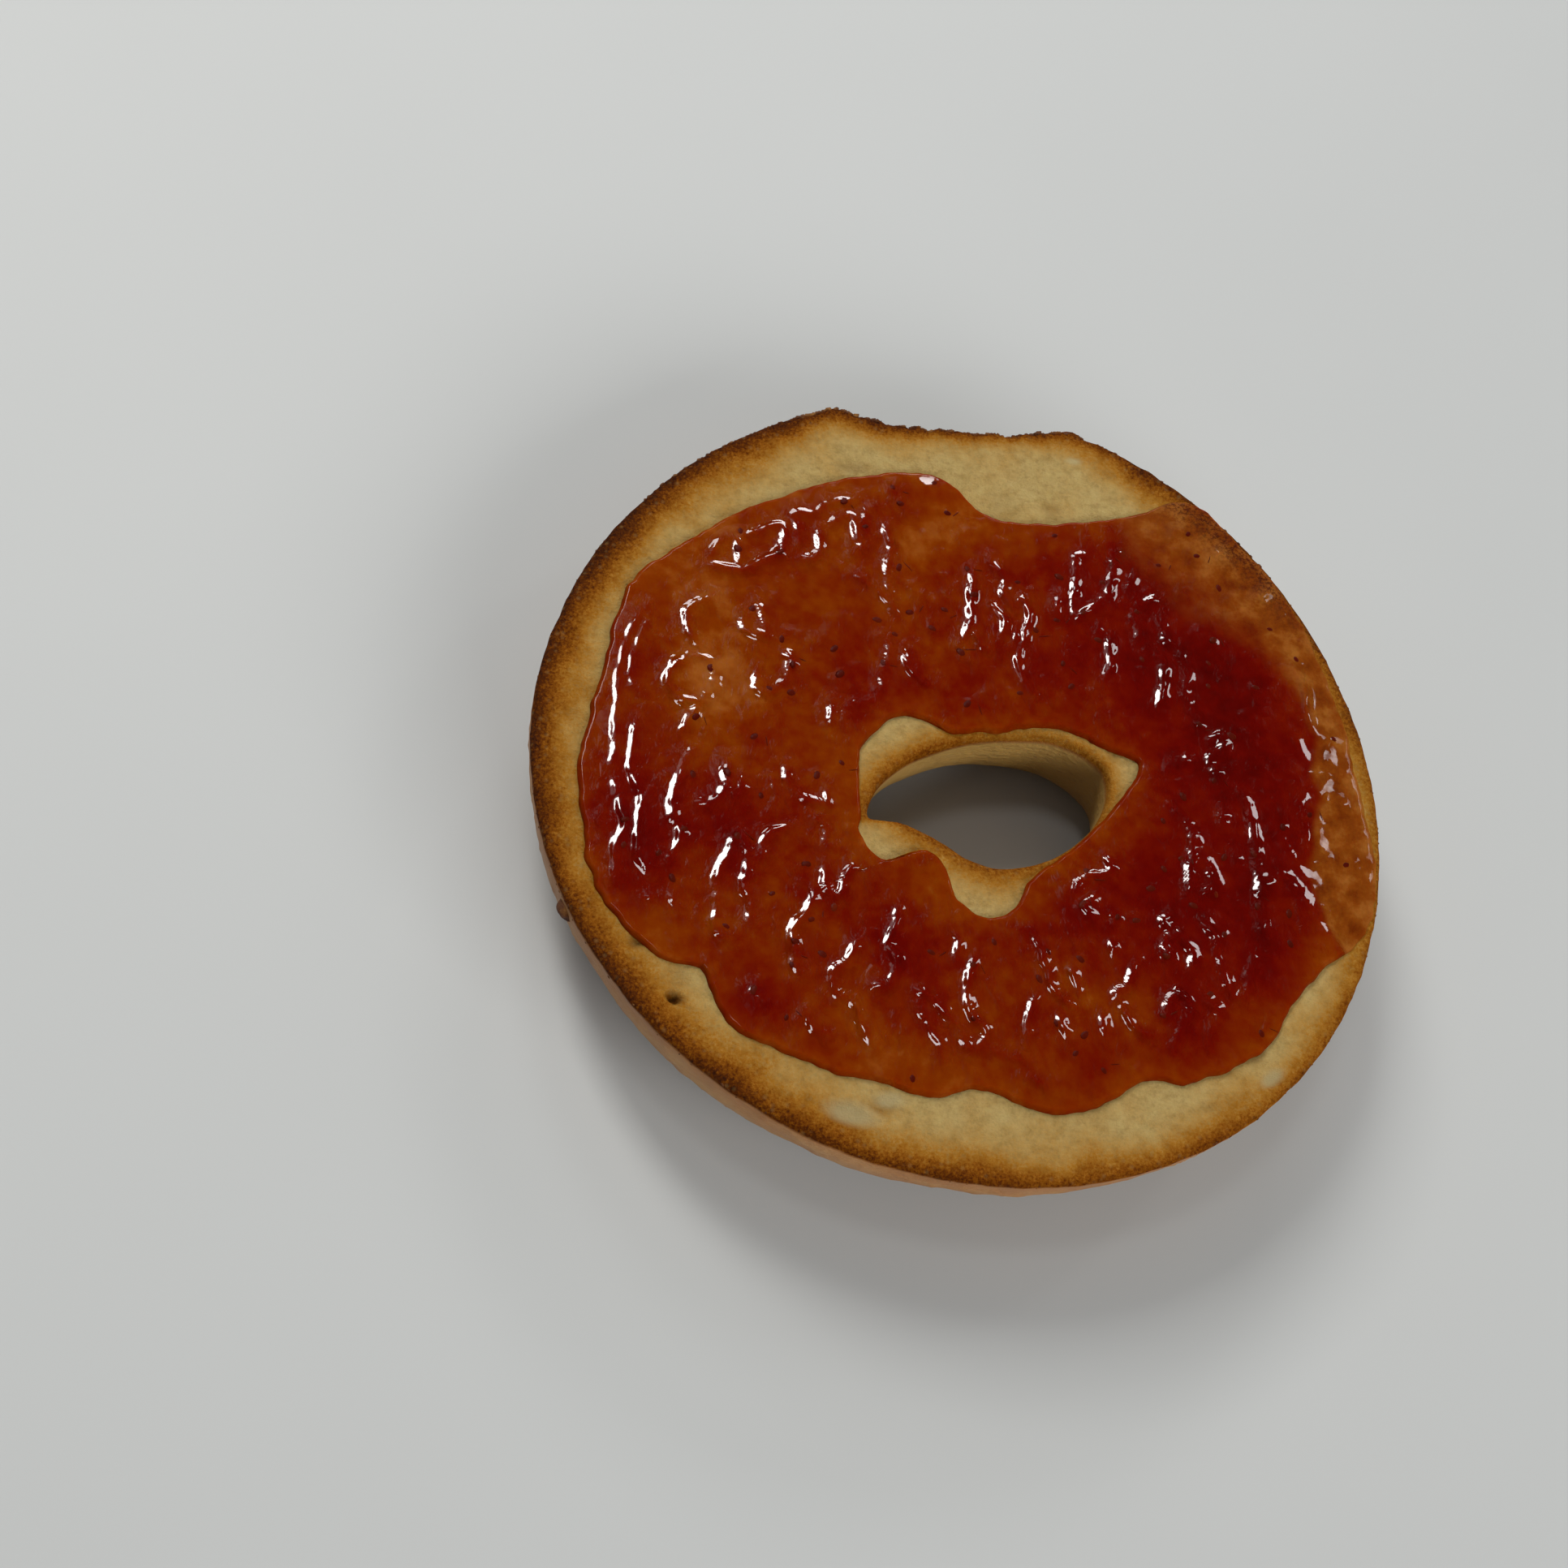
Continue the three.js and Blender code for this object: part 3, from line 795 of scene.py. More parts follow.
# Wrinkles that the knife left: height, then the points they pass through, from the ring's middle.
WRINKLES = (
    (0.36, (-39.8, 17.4), (-41.6, 13.2), (-42.7, 8.5), (-42.8, 4.0), (-43.3, -4.0)),
    (0.38, (-43.1, -5.5), (-42.2, -9.7), (-41.9, -11.9), (-42.9, -14.2), (-42.9, -18)),
    (0.30, (-39.0, 16.3), (-40.4, 12.5), (-41.2, 8.6), (-40.2, 5.6)),
    (0.32, (-40.7, 2), (-41, -5), (-39.8, -7.5), (-40.4, -11), (-40.4, -15), (-38.6, -17.3)),
    (0.34, (-34.2, -0.8), (-34.9, -3), (-36, -6.3), (-36.4, -9.6), (-35.4, -12.3), (-37, -16)),
    (0.36, (-31.5, 19.8), (-34.2, 17.9), (-34.5, 15.7), (-33.8, 13.8), (-32.7, 12.4)),
    (0.34, (-34.8, 11), (-36.4, 9.7), (-36.8, 7.5), (-35.4, 5.6), (-33.4, 4.7), (-35.4, 1.2)),
    (0.32, (-34.2, 11.9), (-31.5, 10.7), (-31.3, 7.8), (-32.9, 5.3)),
    (0.46, (-32, 24.5), (-28, 24), (-26, 25.1), (-23.5, 26.8), (-22.4, 28.6), (-23, 31), (-27, 29)),
    (0.38, (-31.6, 25.5), (-30.2, 28), (-28.2, 28.2), (-27.9, 23.9)),
    (0.34, (-21.2, 28), (-20.6, 30.5), (-21, 33), (-18.4, 33.2), (-16.6, 34.9), (-13.4, 35.7)),
    (0.40, (-17.8, 31.4), (-18, 28.3), (-18.8, 26.7), (-20.2, 26.6)),
    (0.34, (-16.6, 31.7), (-15, 33.2), (-13.4, 33), (-13.2, 30.5), (-12.5, 29.2), (-13.4, 28)),
    (0.28, (-10.6, 35), (-11.8, 34.3), (-12.1, 31.4), (-11.8, 30.2)),
    (0.30, (-8.7, 38), (-7.7, 36.5), (-6.8, 34.9)),
    (0.32, (-9.6, 32.4), (-8.9, 29), (-9.5, 26.4), (-9.5, 23.6), (-9, 19.2)),
    (0.22, (-13.7, 25.1), (-10.6, 22.6), (-9.3, 20.7)),
    (0.26, (-26, 19.5), (-25, 17.3), (-25, 15.1), (-27.4, 15.7), (-27.6, 17.9)),
    (0.32, (-26, 10.7), (-26, 7.8), (-24.7, 7.2), (-23.2, 8.5), (-21.9, 11.6), (-22.8, 13.5)),
    (0.30, (-21.3, 10.4), (-21, 8.2)),
    (0.30, (-10.6, 16.3), (-9.8, 14.8), (-10.6, 11), (-11.5, 7.8), (-15.1, 6.4), (-15.9, 3.6)),
    (0.42, (-17.3, 6.6), (-17.2, 4.0)),
    (0.40, (-8, 14.5), (-7.4, 12.4), (-5.9, 10.7), (-4.3, 10.4)),
    (0.34, (-29.9, -1.9), (-30.1, -5.7), (-32, -7.9), (-33.4, -7.6)),
    (0.36, (-28.8, -4.1), (-28.2, -5.3), (-29.4, -7.5)),
    (0.34, (-22.8, -1.9), (-22.8, -4.1), (-21, -6), (-18.4, -6.6), (-17.7, -4.1)),
    (0.28, (-24.6, -4.1), (-23.9, -6.3), (-24.9, -8.2)),
    (0.32, (-20.2, -8.2), (-18.4, -9.7), (-18.4, -11.6), (-17.5, -12.2)),
    (0.34, (-29, -11.6), (-27.9, -12.6), (-27.9, -16.7), (-28.2, -17.6), (-27.4, -20.4), (-27.9, -23.3)),
    (0.34, (-29, -11.6), (-29.9, -14.2), (-31.3, -17), (-31.2, -20.1), (-31.4, -23.4), (-29.8, -24.4)),
    (0.38, (-22.9, -10), (-25.5, -11.5), (-26, -13.5), (-27, -14.8)),
    (0.46, (-18.8, -14.8), (-18.4, -17.9), (-17, -18.2), (-16.2, -15.7), (-15, -13.8)),
    (0.30, (-14.2, -13.2), (-13.1, -16)),
    (0.38, (-20, -17.6), (-20.3, -19.5), (-21.6, -21.4), (-22.8, -23.3), (-21.9, -28.3)),
    (0.38, (-15.3, -23.9), (-16.5, -26.5), (-18.2, -27.8), (-17.8, -30.5), (-16.2, -31.2), (-13.7, -36.8)),
    (0.40, (-10.3, -18.6), (-10.7, -21.3), (-11.7, -24), (-10.9, -25.8), (-11.8, -28.9), (-13.4, -29.2)),
    (0.36, (-8.7, -29.2), (-6.5, -30.5), (-4.1, -33.6)),
    (0.32, (-8.4, -31.1), (-7.4, -33), (-6.2, -35.5), (-5.9, -37.7)),
    (0.30, (-27.2, -29.9), (-26.6, -31.2), (-25.4, -32.4)),
    (0.34, (-22.8, -34.3), (-21.6, -32.7), (-20.6, -34.6), (-18.4, -35.5)),
    (0.44, (-39.4, -20.3), (-38, -20.2)),
    (0.36, (-36.6, -19.6), (-36, -21)),
    (0.32, (16.8, 34.7), (16.8, 31.3), (15.1, 30.6), (14.7, 27.5), (14.1, 24.4), (14.7, 22), (18.5, 25.1)),
    (0.36, (19.7, 33), (19.9, 29.9), (18.9, 25.8), (19.5, 24.1)),
    (0.34, (20.6, 32.3), (22.5, 29.5), (21.9, 26.8), (22.8, 24.7), (25.4, 25.8)),
    (0.36, (20.6, 24.4), (21.9, 22.3), (22.8, 18.6), (25, 16.5), (24.7, 13.1), (23.7, 9.7)),
    (0.34, (25.7, 23.7), (25.7, 19.9), (27.4, 18.6), (28.3, 15.1), (27.4, 12.1), (29.5, 7.3)),
    (0.30, (3.6, 28.9), (5.5, 26.1), (5.1, 24.1), (6.5, 22)),
    (0.40, (6.4, 22.4), (7.4, 23.4), (8.2, 22.3), (8.1, 20.3), (6.9, 17.2), (6.5, 13.1), (8.6, 9.7)),
    (0.34, (3.8, 22.3), (5.1, 19.9), (3.8, 17.2), (2.1, 16.2), (0.5, 18.9)),
    (0.30, (6.5, 19.6), (5.8, 16.9), (4.5, 15.8)),
    (0.36, (1.4, 26.8), (0.9, 22.7), (0.5, 19.6), (-0.6, 17.0)),
    (0.34, (12, 22.3), (12.6, 24.7), (12.9, 22.7)),
    (0.38, (18.3, 19.6), (18.2, 15.8), (17.1, 12.7)),
    (0.42, (17.1, 21.2), (17.1, 20.2)),
    (0.40, (30.2, 6.2), (31.4, 6.6), (31.5, 4.9), (29.8, 3.5), (30.9, 0.7)),
    (0.34, (24, 1.4), (25.4, 2.5), (27.8, 3.1)),
    (0.44, (42.5, 17.5), (43.9, 15.1), (43.5, 11.4), (44.4, 8.6)),
    (0.40, (38.7, 27.1), (40.1, 28.5), (42.3, 28.7), (42.7, 25.4)),
    (0.40, (33.6, 33.0), (34.8, 33.4), (35.4, 32.2)),
    (0.36, (28.6, 36.0), (29.6, 36.6)),
    (0.30, (32.5, 14.8), (33.4, 14.0)),
    (0.38, (23.9, -3.5), (26.2, -5.9), (26.3, -10), (25.6, -12), (25.3, -15.1)),
    (0.42, (27.5, -9.6), (28.2, -13.1), (27, -15.1)),
    (0.40, (26.9, -18.2), (28.1, -21.3), (28.9, -26.5), (30.6, -27.8), (31.7, -25.1), (32.5, -21.7)),
    (0.36, (32.5, 0), (34, -2.5), (34.4, -6), (34.3, -12), (34, -19), (32.8, -22)),
    (0.26, (40.6, -0.4), (41.6, -4.2), (40.9, -9)),
    (0.26, (36.5, -10.3), (38.9, -13.8), (39.5, -18.6)),
    (0.46, (30.5, -3.6), (30.7, -4.9)),
    (0.44, (31.4, -9.0), (31.9, -10.6)),
    (0.42, (35.0, -12.6), (35.6, -13.6)),
    (0.46, (15.5, -10.3), (15.5, -12.7), (12.5, -13.8), (10.7, -15.8)),
    (0.40, (13.6, -16.3), (12.4, -17.6), (13.0, -19.2)),
    (0.40, (14.6, -17.6), (15.7, -18.6), (15.0, -19.8)),
    (0.40, (22.6, -17.8), (21.6, -18.6), (22.4, -19.6)),
    (0.42, (21.9, -24.0), (21.7, -21.7), (23.4, -20.3), (25.1, -22.7), (24.5, -24.7)),
    (0.38, (15.2, -21.6), (15.3, -23.6)),
    (0.40, (18.1, -23.7), (16.6, -27.1), (15.2, -28.5), (17.3, -32.3), (19, -33)),
    (0.44, (21.2, -30.2), (21.4, -28.7), (22.7, -27.8), (23.9, -29.9), (22.4, -32.3), (21.4, -35)),
    (0.32, (25.5, -27.5), (27.5, -29.9), (26.2, -32.3), (25.7, -34)),
    (0.38, (3.9, -20.6), (5.9, -21.7), (7.1, -25.4), (7.7, -28.2), (9.9, -30.2)),
    (0.34, (5.9, -28.9), (4.6, -31.3), (4.2, -34.7)),
    (0.38, (8, -30.6), (8.5, -32.6), (9, -34)),
    (0.40, (-1.4, -24.7), (-2.5, -28.2), (-2.5, -31.3), (-0.6, -34), (-2.3, -36.1), (-4, -34.2)),
    (0.32, (-0.9, -35.7), (1.5, -36.7), (3.9, -37.1)),
    (0.44, (4.1, -39.1), (6.3, -39.8)),
    (0.28, (10.1, -25.1), (10.9, -29.5)),
    (0.34, (-4, -21.3), (-3.3, -23), (-3.7, -25.1)),
    (0.32, (13.3, -30.6), (13.5, -33.7)),
    (0.28, (34.7, -28.9), (33, -31.6)),
)


# Spacing of the points along a wrinkle, how far around it is looked for, and where its steep side faces.
PATH_STEP, WRINKLE_REACH = 0.25, 4.0
STEEP_SIDE = np.array([-0.97, 0.24])


def smooth_path(points):
    """Points about PATH_STEP apart along a smooth curve through the given ones."""
    points = np.array(points, float)
    points = np.vstack([2 * points[0] - points[1], points, 2 * points[-1] - points[-2]])
    path = []
    for a, b, c, d in zip(points, points[1:], points[2:], points[3:]):
        count = max(2, int(np.linalg.norm(c - b) / PATH_STEP))
        t = np.arange(count)[:, None] / count
        square, cube = 2 * a - 5 * b + 4 * c - d, 3 * b - a - 3 * c + d
        path.append(0.5 * (2 * b + (c - a) * t + square * t**2 + cube * t**3))
    return np.vstack([*path, points[-2:-1]])


def wrinkle_relief(x, y):
    """Height of the knife's wrinkles, each steeper on its -X side, and how near each point is to one."""
    flat = level(x, y)

    def ragged(seed):
        return 0.24 * smooth_noise(flat / 1.9, seed=seed) + 0.13 * smooth_noise(flat / 0.8, seed=seed + 1)

    u = x - RIM_MIDDLE[0] + ragged(121)
    v = y - RIM_MIDDLE[1] + ragged(123)
    relief = np.zeros_like(x)
    nearness = np.zeros_like(x)
    for number, (height, *points) in enumerate(WRINKLES):
        path = smooth_path(points)
        low, high = path.min(0) - WRINKLE_REACH, path.max(0) + WRINKLE_REACH
        near = np.nonzero((u > low[0]) & (u < high[0]) & (v > low[1]) & (v < high[1]))[0]
        away = np.stack([u[near], v[near]], 1)[:, None] - path[None]
        distance = np.linalg.norm(away, axis=2)
        nearest = distance.argmin(1)
        pick = np.arange(len(near))
        distance, away = distance[pick, nearest], away[pick, nearest]
        facing = away @ STEEP_SIDE / (distance + 1e-6)
        width = 0.64 - 0.19 * facing
        along = np.arange(len(path)) * PATH_STEP
        swell = 0.9 + 0.45 * smooth_noise(level(along / 1.8, along * 0 + number * 3.7), seed=125)
        taper = np.clip(np.minimum(along + 0.7, along[::-1] + 0.7) / 1.6, 0, 1)
        strength = 1.12 * height * (swell * taper)[nearest]
        relief[near] = np.maximum(relief[near], strength * np.exp(-((distance / width) ** 2)))
        nearness[near] = np.maximum(nearness[near], np.exp(-((distance / 1.9) ** 2)))
    return relief, nearness


def jam_ripples(x, y):
    """Low rolling waves, long in Y, and finer crinkles in patches."""
    flat = level(x, y)
    wander = 1.9 * smooth_noise(flat / 8.0, seed=91) + 0.9 * smooth_noise(flat / 3.2, seed=92)
    finer = np.stack([(x - 1.2 * wander) / 3.0, (y + wander) / 6.5, x * 0 + 4], 1)
    small = np.exp(-((smooth_noise(finer, seed=97) / 0.20) ** 2))
    other = np.clip(0.45 + 0.8 * smooth_noise(flat / 7.0, seed=98), 0.0, 1)
    roll = smooth_noise(np.stack([(x + wander) / 6.0, y / 11.0, x * 0 + 9], 1), seed=96)
    crinkled = np.clip(0.4 + 0.9 * smooth_noise(flat / 6.0, seed=94), 0, 1)
    crinkle = smooth_noise(flat / 1.7, seed=93) * crinkled
    return 0.12 * small * other + 0.13 * roll + 0.05 * crinkle


# Seeds keep this far from the jam's edges and from each other.
SEED_MARGIN, SEED_SPACING = 1.6, 2.4


def seed_places(count):
    """Where the strawberry seeds lie: x, y, turn and size, kept apart and off the jam's edges."""
    draw = np.random.default_rng(17)
    every_degree = np.arange(360) / 180 * math.pi
    hole = outline("jam_spread", HOLE_MIDDLE, JAM_OUTLINE_HEIGHT, every_degree, False)
    rim = outline("jam_spread", RIM_MIDDLE, JAM_OUTLINE_HEIGHT, every_degree, True)
    places = []
    while len(places) < count:
        x, y = draw.uniform(-50, 50, 2)
        turn, size = draw.uniform(0, 180), draw.uniform(0.8, 1.15)
        to_rim = np.array([x, y]) - RIM_MIDDLE
        to_hole = np.array([x, y]) - HOLE_MIDDLE
        at_rim = int(math.degrees(math.atan2(to_rim[1], to_rim[0]))) % 360
        at_hole = int(math.degrees(math.atan2(to_hole[1], to_hole[0]))) % 360
        inside = np.hypot(*to_rim) < rim[at_rim] - SEED_MARGIN
        inside = inside and np.hypot(*to_hole) > hole[at_hole] + SEED_MARGIN
        apart = all(math.hypot(x - px, y - py) > SEED_SPACING for px, py, _, _ in places)
        if inside and apart:
            places.append((x, y, turn, size))
    return places


def scalloped(points, outward, amount, size, seed, shift):
    """An outline with small uneven scallops, and shifted outwards."""
    wobble = amount * layered_noise(level(*points.T), size, seed=seed, layers=2) + shift
    return points + outward * wobble[:, None]


def distance_to_edge(x, y, inner, outer):
    """How far each point lies from the nearer of the jam's two edges."""
    edges = KDTree(len(inner) + len(outer))
    for index, point in enumerate(np.concatenate([inner, outer])):
        edges.insert((point[0], point[1], 0), index)
    edges.balance()
    return np.array([edges.find((px, py, 0))[2] for px, py in zip(x, y)])


def jam_thickness(settings, x, y, film, wrinkles):
    """Thickness of the jam away from its edges, with pools, ripples, wrinkles and fruit, or wiped film."""
    plain = level(x, y)
    lumps, over_seeds = np.zeros_like(x), np.zeros_like(x)
    for lump in FRUIT_LUMPS:
        lumps = np.maximum(lumps, lump[5] * bump_at(x, y, lump))
    for place in seed_places(settings.seeds):
        over_seeds = np.maximum(over_seeds, bump_at(x, y, (*place[:2], 0.62, 0.62, 0)))
    small_lumps = cell_pits(plain, 5.5, 0.5, seed=107) ** 1.4
    body = jam_relief(x, y) + (jam_ripples(x, y) + wrinkles) * settings.ridge_height
    body = body + 0.8 * lumps + 0.16 * small_lumps + 0.12 * over_seeds
    film_body = 0.50 + 0.07 * layered_noise(plain, 3.2, seed=109, layers=3) + 0.12 * small_lumps
    film_body = film_body + 0.9 * wrinkles + 0.22 * cell_pits(plain, 2.3, 0.4, seed=108)
    return body * (1 - film) + film_body * film


def edge_rise(film, from_edge):
    """Height of the rounded lip, and how much of the full thickness is reached behind it."""
    rounded = np.sqrt(np.clip(1 - (1 - np.clip(from_edge / LIP_WIDTH, 0, 1)) ** 2, 0, 1))
    lip_height = LIP_HEIGHT * (1 - film) + FILM_LIP_HEIGHT * film
    reached = 1 - np.exp(-np.maximum(from_edge - 0.1, 0) / (4.5 - 1.5 * film))
    return lip_height, rounded, reached


def below_top(rise):
    """Eases the highest peaks down, to stay under the solid model's top."""
    highest = TOP_HEIGHT - FACE_HEIGHT - TOP_MARGIN
    over = np.maximum(rise - (highest - KNEE), 0)
    return np.where(over > 0, highest - KNEE + KNEE * np.tanh(over / KNEE), rise)


# Singeing of the film: the radius it comes in from, its reach, and where it starts and ends, in degrees.
SINGED_RADIUS, SINGED_REACH = 50.8, 2.6
SINGED_START, SINGED_END = (22, 38), (66, 72)


def singed_share(x, y):
    """Where the film lies over the darkest toast: along the rim between two directions."""
    angle = np.degrees(np.arctan2(y - RIM_MIDDLE[1], x - RIM_MIDDLE[0]))
    to_rim = SINGED_RADIUS - np.hypot(x - RIM_MIDDLE[0], y - RIM_MIDDLE[1])
    along_rim = ease(*SINGED_START, angle) * (1 - ease(*SINGED_END, angle))
    return np.exp(-((np.maximum(to_rim, 0) / SINGED_REACH) ** 2)) * along_rim


def build_jam(settings):
    """The jam: one closed mesh with a rounded edge, knife wrinkles and fruit lumps."""
    angles = np.arange(settings.around) / settings.around * 2 * math.pi
    outward = np.stack([np.cos(angles), np.sin(angles)], 1)
    inner_r = outline("jam_spread", HOLE_MIDDLE, JAM_OUTLINE_HEIGHT, angles, False)
    outer_r = outline("jam_spread", RIM_MIDDLE, JAM_OUTLINE_HEIGHT, angles, True)
    inner = polar(HOLE_MIDDLE, inner_r, angles)
    inner = scalloped(inner, outward, amount=0.22, size=2.6, seed=103, shift=0.12)
    outer = polar(RIM_MIDDLE, outer_r, angles)
    outer = scalloped(outer, outward, amount=0.32, size=3.2, seed=101, shift=-0.15)

    # Closer rings at both edges, where the jam rounds over.
    steps = settings.across
    share = np.arange(steps + 1) / steps
    share = share - 0.11 * np.sin(2 * math.pi * share)
    flat = inner[:, None] + (outer - inner)[:, None] * share[None, :, None]
    shape = flat.shape[:2]
    x, y = flat.reshape(-1, 2).T

    from_edge = distance_to_edge(x, y, inner, outer)
    film, film_seen = film_share(x, y)
    wrinkles, crinkled = wrinkle_relief(x, y)
    wrinkles = wrinkles * ease(0.5, 1.8, from_edge)
    thick = jam_thickness(settings, x, y, film, wrinkles)
    lip_height, rounded, reached = edge_rise(film, from_edge)
    rise = below_top(np.maximum(lip_height * rounded + (thick - lip_height) * reached, 0.04))
    top = FACE_HEIGHT + np.minimum(face_swell(x, y) + 0.05, 0) + rise
    upper = np.dstack([flat, top.reshape(shape)])
    under_share = np.array([1.0, 0.7, 0.35, 0.0])
    under = inner[:, None] + (outer - inner)[:, None] * under_share[None, :, None]
    under_z = np.full(under.shape[:2], JAM_UNDERSIDE)
    piece = ring_mesh("jam", np.concatenate([upper, np.dstack([under, under_z])], 1))

    masks = {
        "depth": deep_colour_map(x, y) * (0.55 + 0.45 * reached) + 0.55 * (thick - jam_relief(x, y)),
        "film": film_seen,
        "singed": singed_share(x, y),
        "edge": np.exp(-from_edge / 0.7),
        "crinkled": crinkled,
    }
    for name, values in masks.items():
        layer = np.zeros((shape[0], shape[1] + len(under_share)))
        layer[:, : steps + 1] = values.reshape(shape)
        paint(piece, name, layer)
    piece.data.materials.append(jam_material(settings))
    return piece


def film_colours(tree, grit, edge):
    """Amber film soaked into the crumb, and singed dark along the toasted rim."""
    soft = sums(tree, "MULTIPLY", texture_noise(tree, 4.5, detail=3.0), 0.82)
    soaked = sums(tree, "MULTIPLY_ADD", edge, 0.10, sums(tree, "MULTIPLY_ADD", grit, 0.18, soft))
    amber = ramp(tree, soaked, (
        (0.36, (0.125, 0.018, 0.001)), (0.50, (0.205, 0.046, 0.003)), (0.64, (0.30, 0.100, 0.014))))
    gritty = spread(tree, grit, 0.40, 0.56, 1.0, 0.25)
    singed = sums(tree, "MULTIPLY", attribute(tree, "singed"), gritty, clamp=True)
    return mix_colour(tree, singed, amber, (0.060, 0.013, 0.004, 1.0))


def jam_material(look):
    """Glossy jam, orange where it is thin and crimson where it lies deep, with the wiped film."""
    material, tree, shader = new_material("strawberry_jam")
    grain = use_group(tree, grain_group(), Cloud_Size=6.5, Grain_Size=1.6, Speck_Size=2.6)
    cloud, fine = grain.outputs["Cloud"], grain.outputs["Grain"]
    depth, film, edge, crinkled = (attribute(tree, name) for name in ("depth", "film", "edge", "crinkled"))
    grit = texture_noise(tree, 0.45, detail=3.0, roughness=0.7)

    seen = stirred(tree, stirred(tree, depth, cloud, 1.3), fine, 0.85)
    colour = ramp(tree, spread(tree, seen, 0.0, 2.2), (
        (0.05, (0.30, 0.082, 0.010)), (0.27, look.thin_colour), (0.45, look.middle_colour),
        (0.60, look.red_colour), (0.75, look.deep_colour), (1.0, (0.072, 0.0010, 0.0006))))
    colour = mix_colour(tree, film, colour, film_colours(tree, grit, edge))
    colour = mix_colour(tree, sums(tree, "MULTIPLY", edge, 0.2), colour, (0.16, 0.012, 0.001, 1.0))
    plug(tree, shader.inputs["Base Color"], colour)

    # The gloss is the coat's; it fades at the jam's edges and is patchy on the film.
    patchy = spread(tree, texture_noise(tree, 1.5, detail=2.0), 0.44, 0.60, 0.80, 0.25)
    film_dull = sums(tree, "MULTIPLY", film, patchy)
    dulled = sums(tree, "MAXIMUM", sums(tree, "MULTIPLY", edge, 1.6), film_dull, clamp=True)
    plug(tree, shader.inputs["Roughness"], sums(tree, "MULTIPLY_ADD", film, 0.25, 0.20))
    plug(tree, shader.inputs["Coat Weight"], sums(tree, "SUBTRACT", 1.0, dulled))
    shader.inputs["Specular IOR Level"].default_value = 0.02
    shader.inputs["Coat Roughness"].default_value = 0.03
    shader.inputs["Coat IOR"].default_value = 1.62
    shader.inputs["Subsurface Weight"].default_value = look.glow
    shader.inputs["Subsurface Radius"].default_value = (2.6, 0.5, 0.12)
    shader.inputs["Subsurface Scale"].default_value = MM

    # Fine folds, strongest beside the wrinkles and in patches.
    ripple = texture_noise(tree, 1.1, detail=2.5, roughness=0.6, stretch=(1, 0.6, 1), distortion=0.5)
    folds = texture_noise(tree, 2.7, detail=2.0, roughness=0.5, stretch=(1, 0.5, 1), distortion=0.8)
    crinkle = texture_noise(tree, 0.42, detail=2.0, roughness=0.6)
    patches = spread(tree, texture_noise(tree, 5.0, detail=2.0), 0.42, 0.66, 0.20, 0.95)
    busy = sums(tree, "MAXIMUM", crinkled, patches)
    busy = sums(tree, "MAXIMUM", busy, sums(tree, "MULTIPLY", film, 0.5))
    folded = sums(tree, "MULTIPLY", sums(tree, "MULTIPLY_ADD", folds, 1.5, ripple), busy)
    rolling = bump(tree, folded, 0.32)
    plug(tree, shader.inputs["Normal"], bump(tree, crinkle, 0.012, under=rolling))
    return material


# ---------------------------------------------------------------- seeds and crumbs

def surface_tree(piece):
    """A search tree of a finished piece, in millimetres."""
    corners = [vertex.co / MM for vertex in piece.data.vertices]
    return BVHTree.FromPolygons(corners, [tuple(face.vertices) for face in piece.data.polygons])


def add_lump(shape, middle, half, frame_axes, roughness, seed, detail=3):
    """Adds one uneven rounded lump to a bmesh: middle and half sizes in millimetres."""
    made = bmesh.ops.create_icosphere(shape, subdivisions=detail, radius=1.0)["verts"]
    unit = np.array([vertex.co for vertex in made])
    swell = 1 + roughness * layered_noise(unit + seed * 7.3, 1.1, seed=seed, layers=2)
    placed = (unit * swell[:, None] * np.array(half)) @ np.array(frame_axes) + np.array(middle)
    for vertex, place in zip(made, placed):
        vertex.co = Vector(place) * MM


def lump_piece(name, shape, material):
    mesh = bpy.data.meshes.new(name)
    shape.to_mesh(mesh)
    shape.free()
    mesh.polygons.foreach_set("use_smooth", np.ones(len(mesh.polygons), bool))
    piece = bpy.data.objects.new(name, mesh)
    bpy.context.scene.collection.objects.link(piece)
    mesh.materials.append(material)
    return piece


def axes_on(normal, turn):
    """Three directions for a lump that lies on a surface: along it, across it and out of it."""
    out = Vector(normal).normalized()
    along = Vector((math.cos(turn), math.sin(turn), 0))
    along = (along - out * along.dot(out)).normalized()
    return [list(along), list(out.cross(along)), list(out)]


def seed_material():
    material, tree, shader = new_material("jam_seed")
    grain = use_group(tree, grain_group(), Cloud_Size=4.0, Grain_Size=0.25, Speck_Size=0.5)
    colour = ramp(tree, grain.outputs["Cloud"], (
        (0.35, (0.058, 0.0030, 0.0010)), (0.6, (0.080, 0.0055, 0.0014)), (0.75, (0.12, 0.012, 0.002))))
    plug(tree, shader.inputs["Base Color"], colour)
    plug(tree, shader.inputs["Normal"], bump(tree, grain.outputs["Grain"], 0.05))
    shader.inputs["Roughness"].default_value = 0.3
    shader.inputs["Specular IOR Level"].default_value = 0.05
    return material


# Half sizes of a seed and a fibre, and how deep the middle of each lies under the jam's surface.
SEED_HALF, SEED_SUNK = (0.66, 0.47, 0.22), 0.16
FIBRE_HALF, FIBRE_SUNK = (0.75, 0.075, 0.07), 0.03


def straight_down(tree, x, y):
    """Where a line from above meets a piece."""
    return tree.ray_cast(Vector((x, y, TOP_HEIGHT + 5)), Vector((0, 0, -1)))


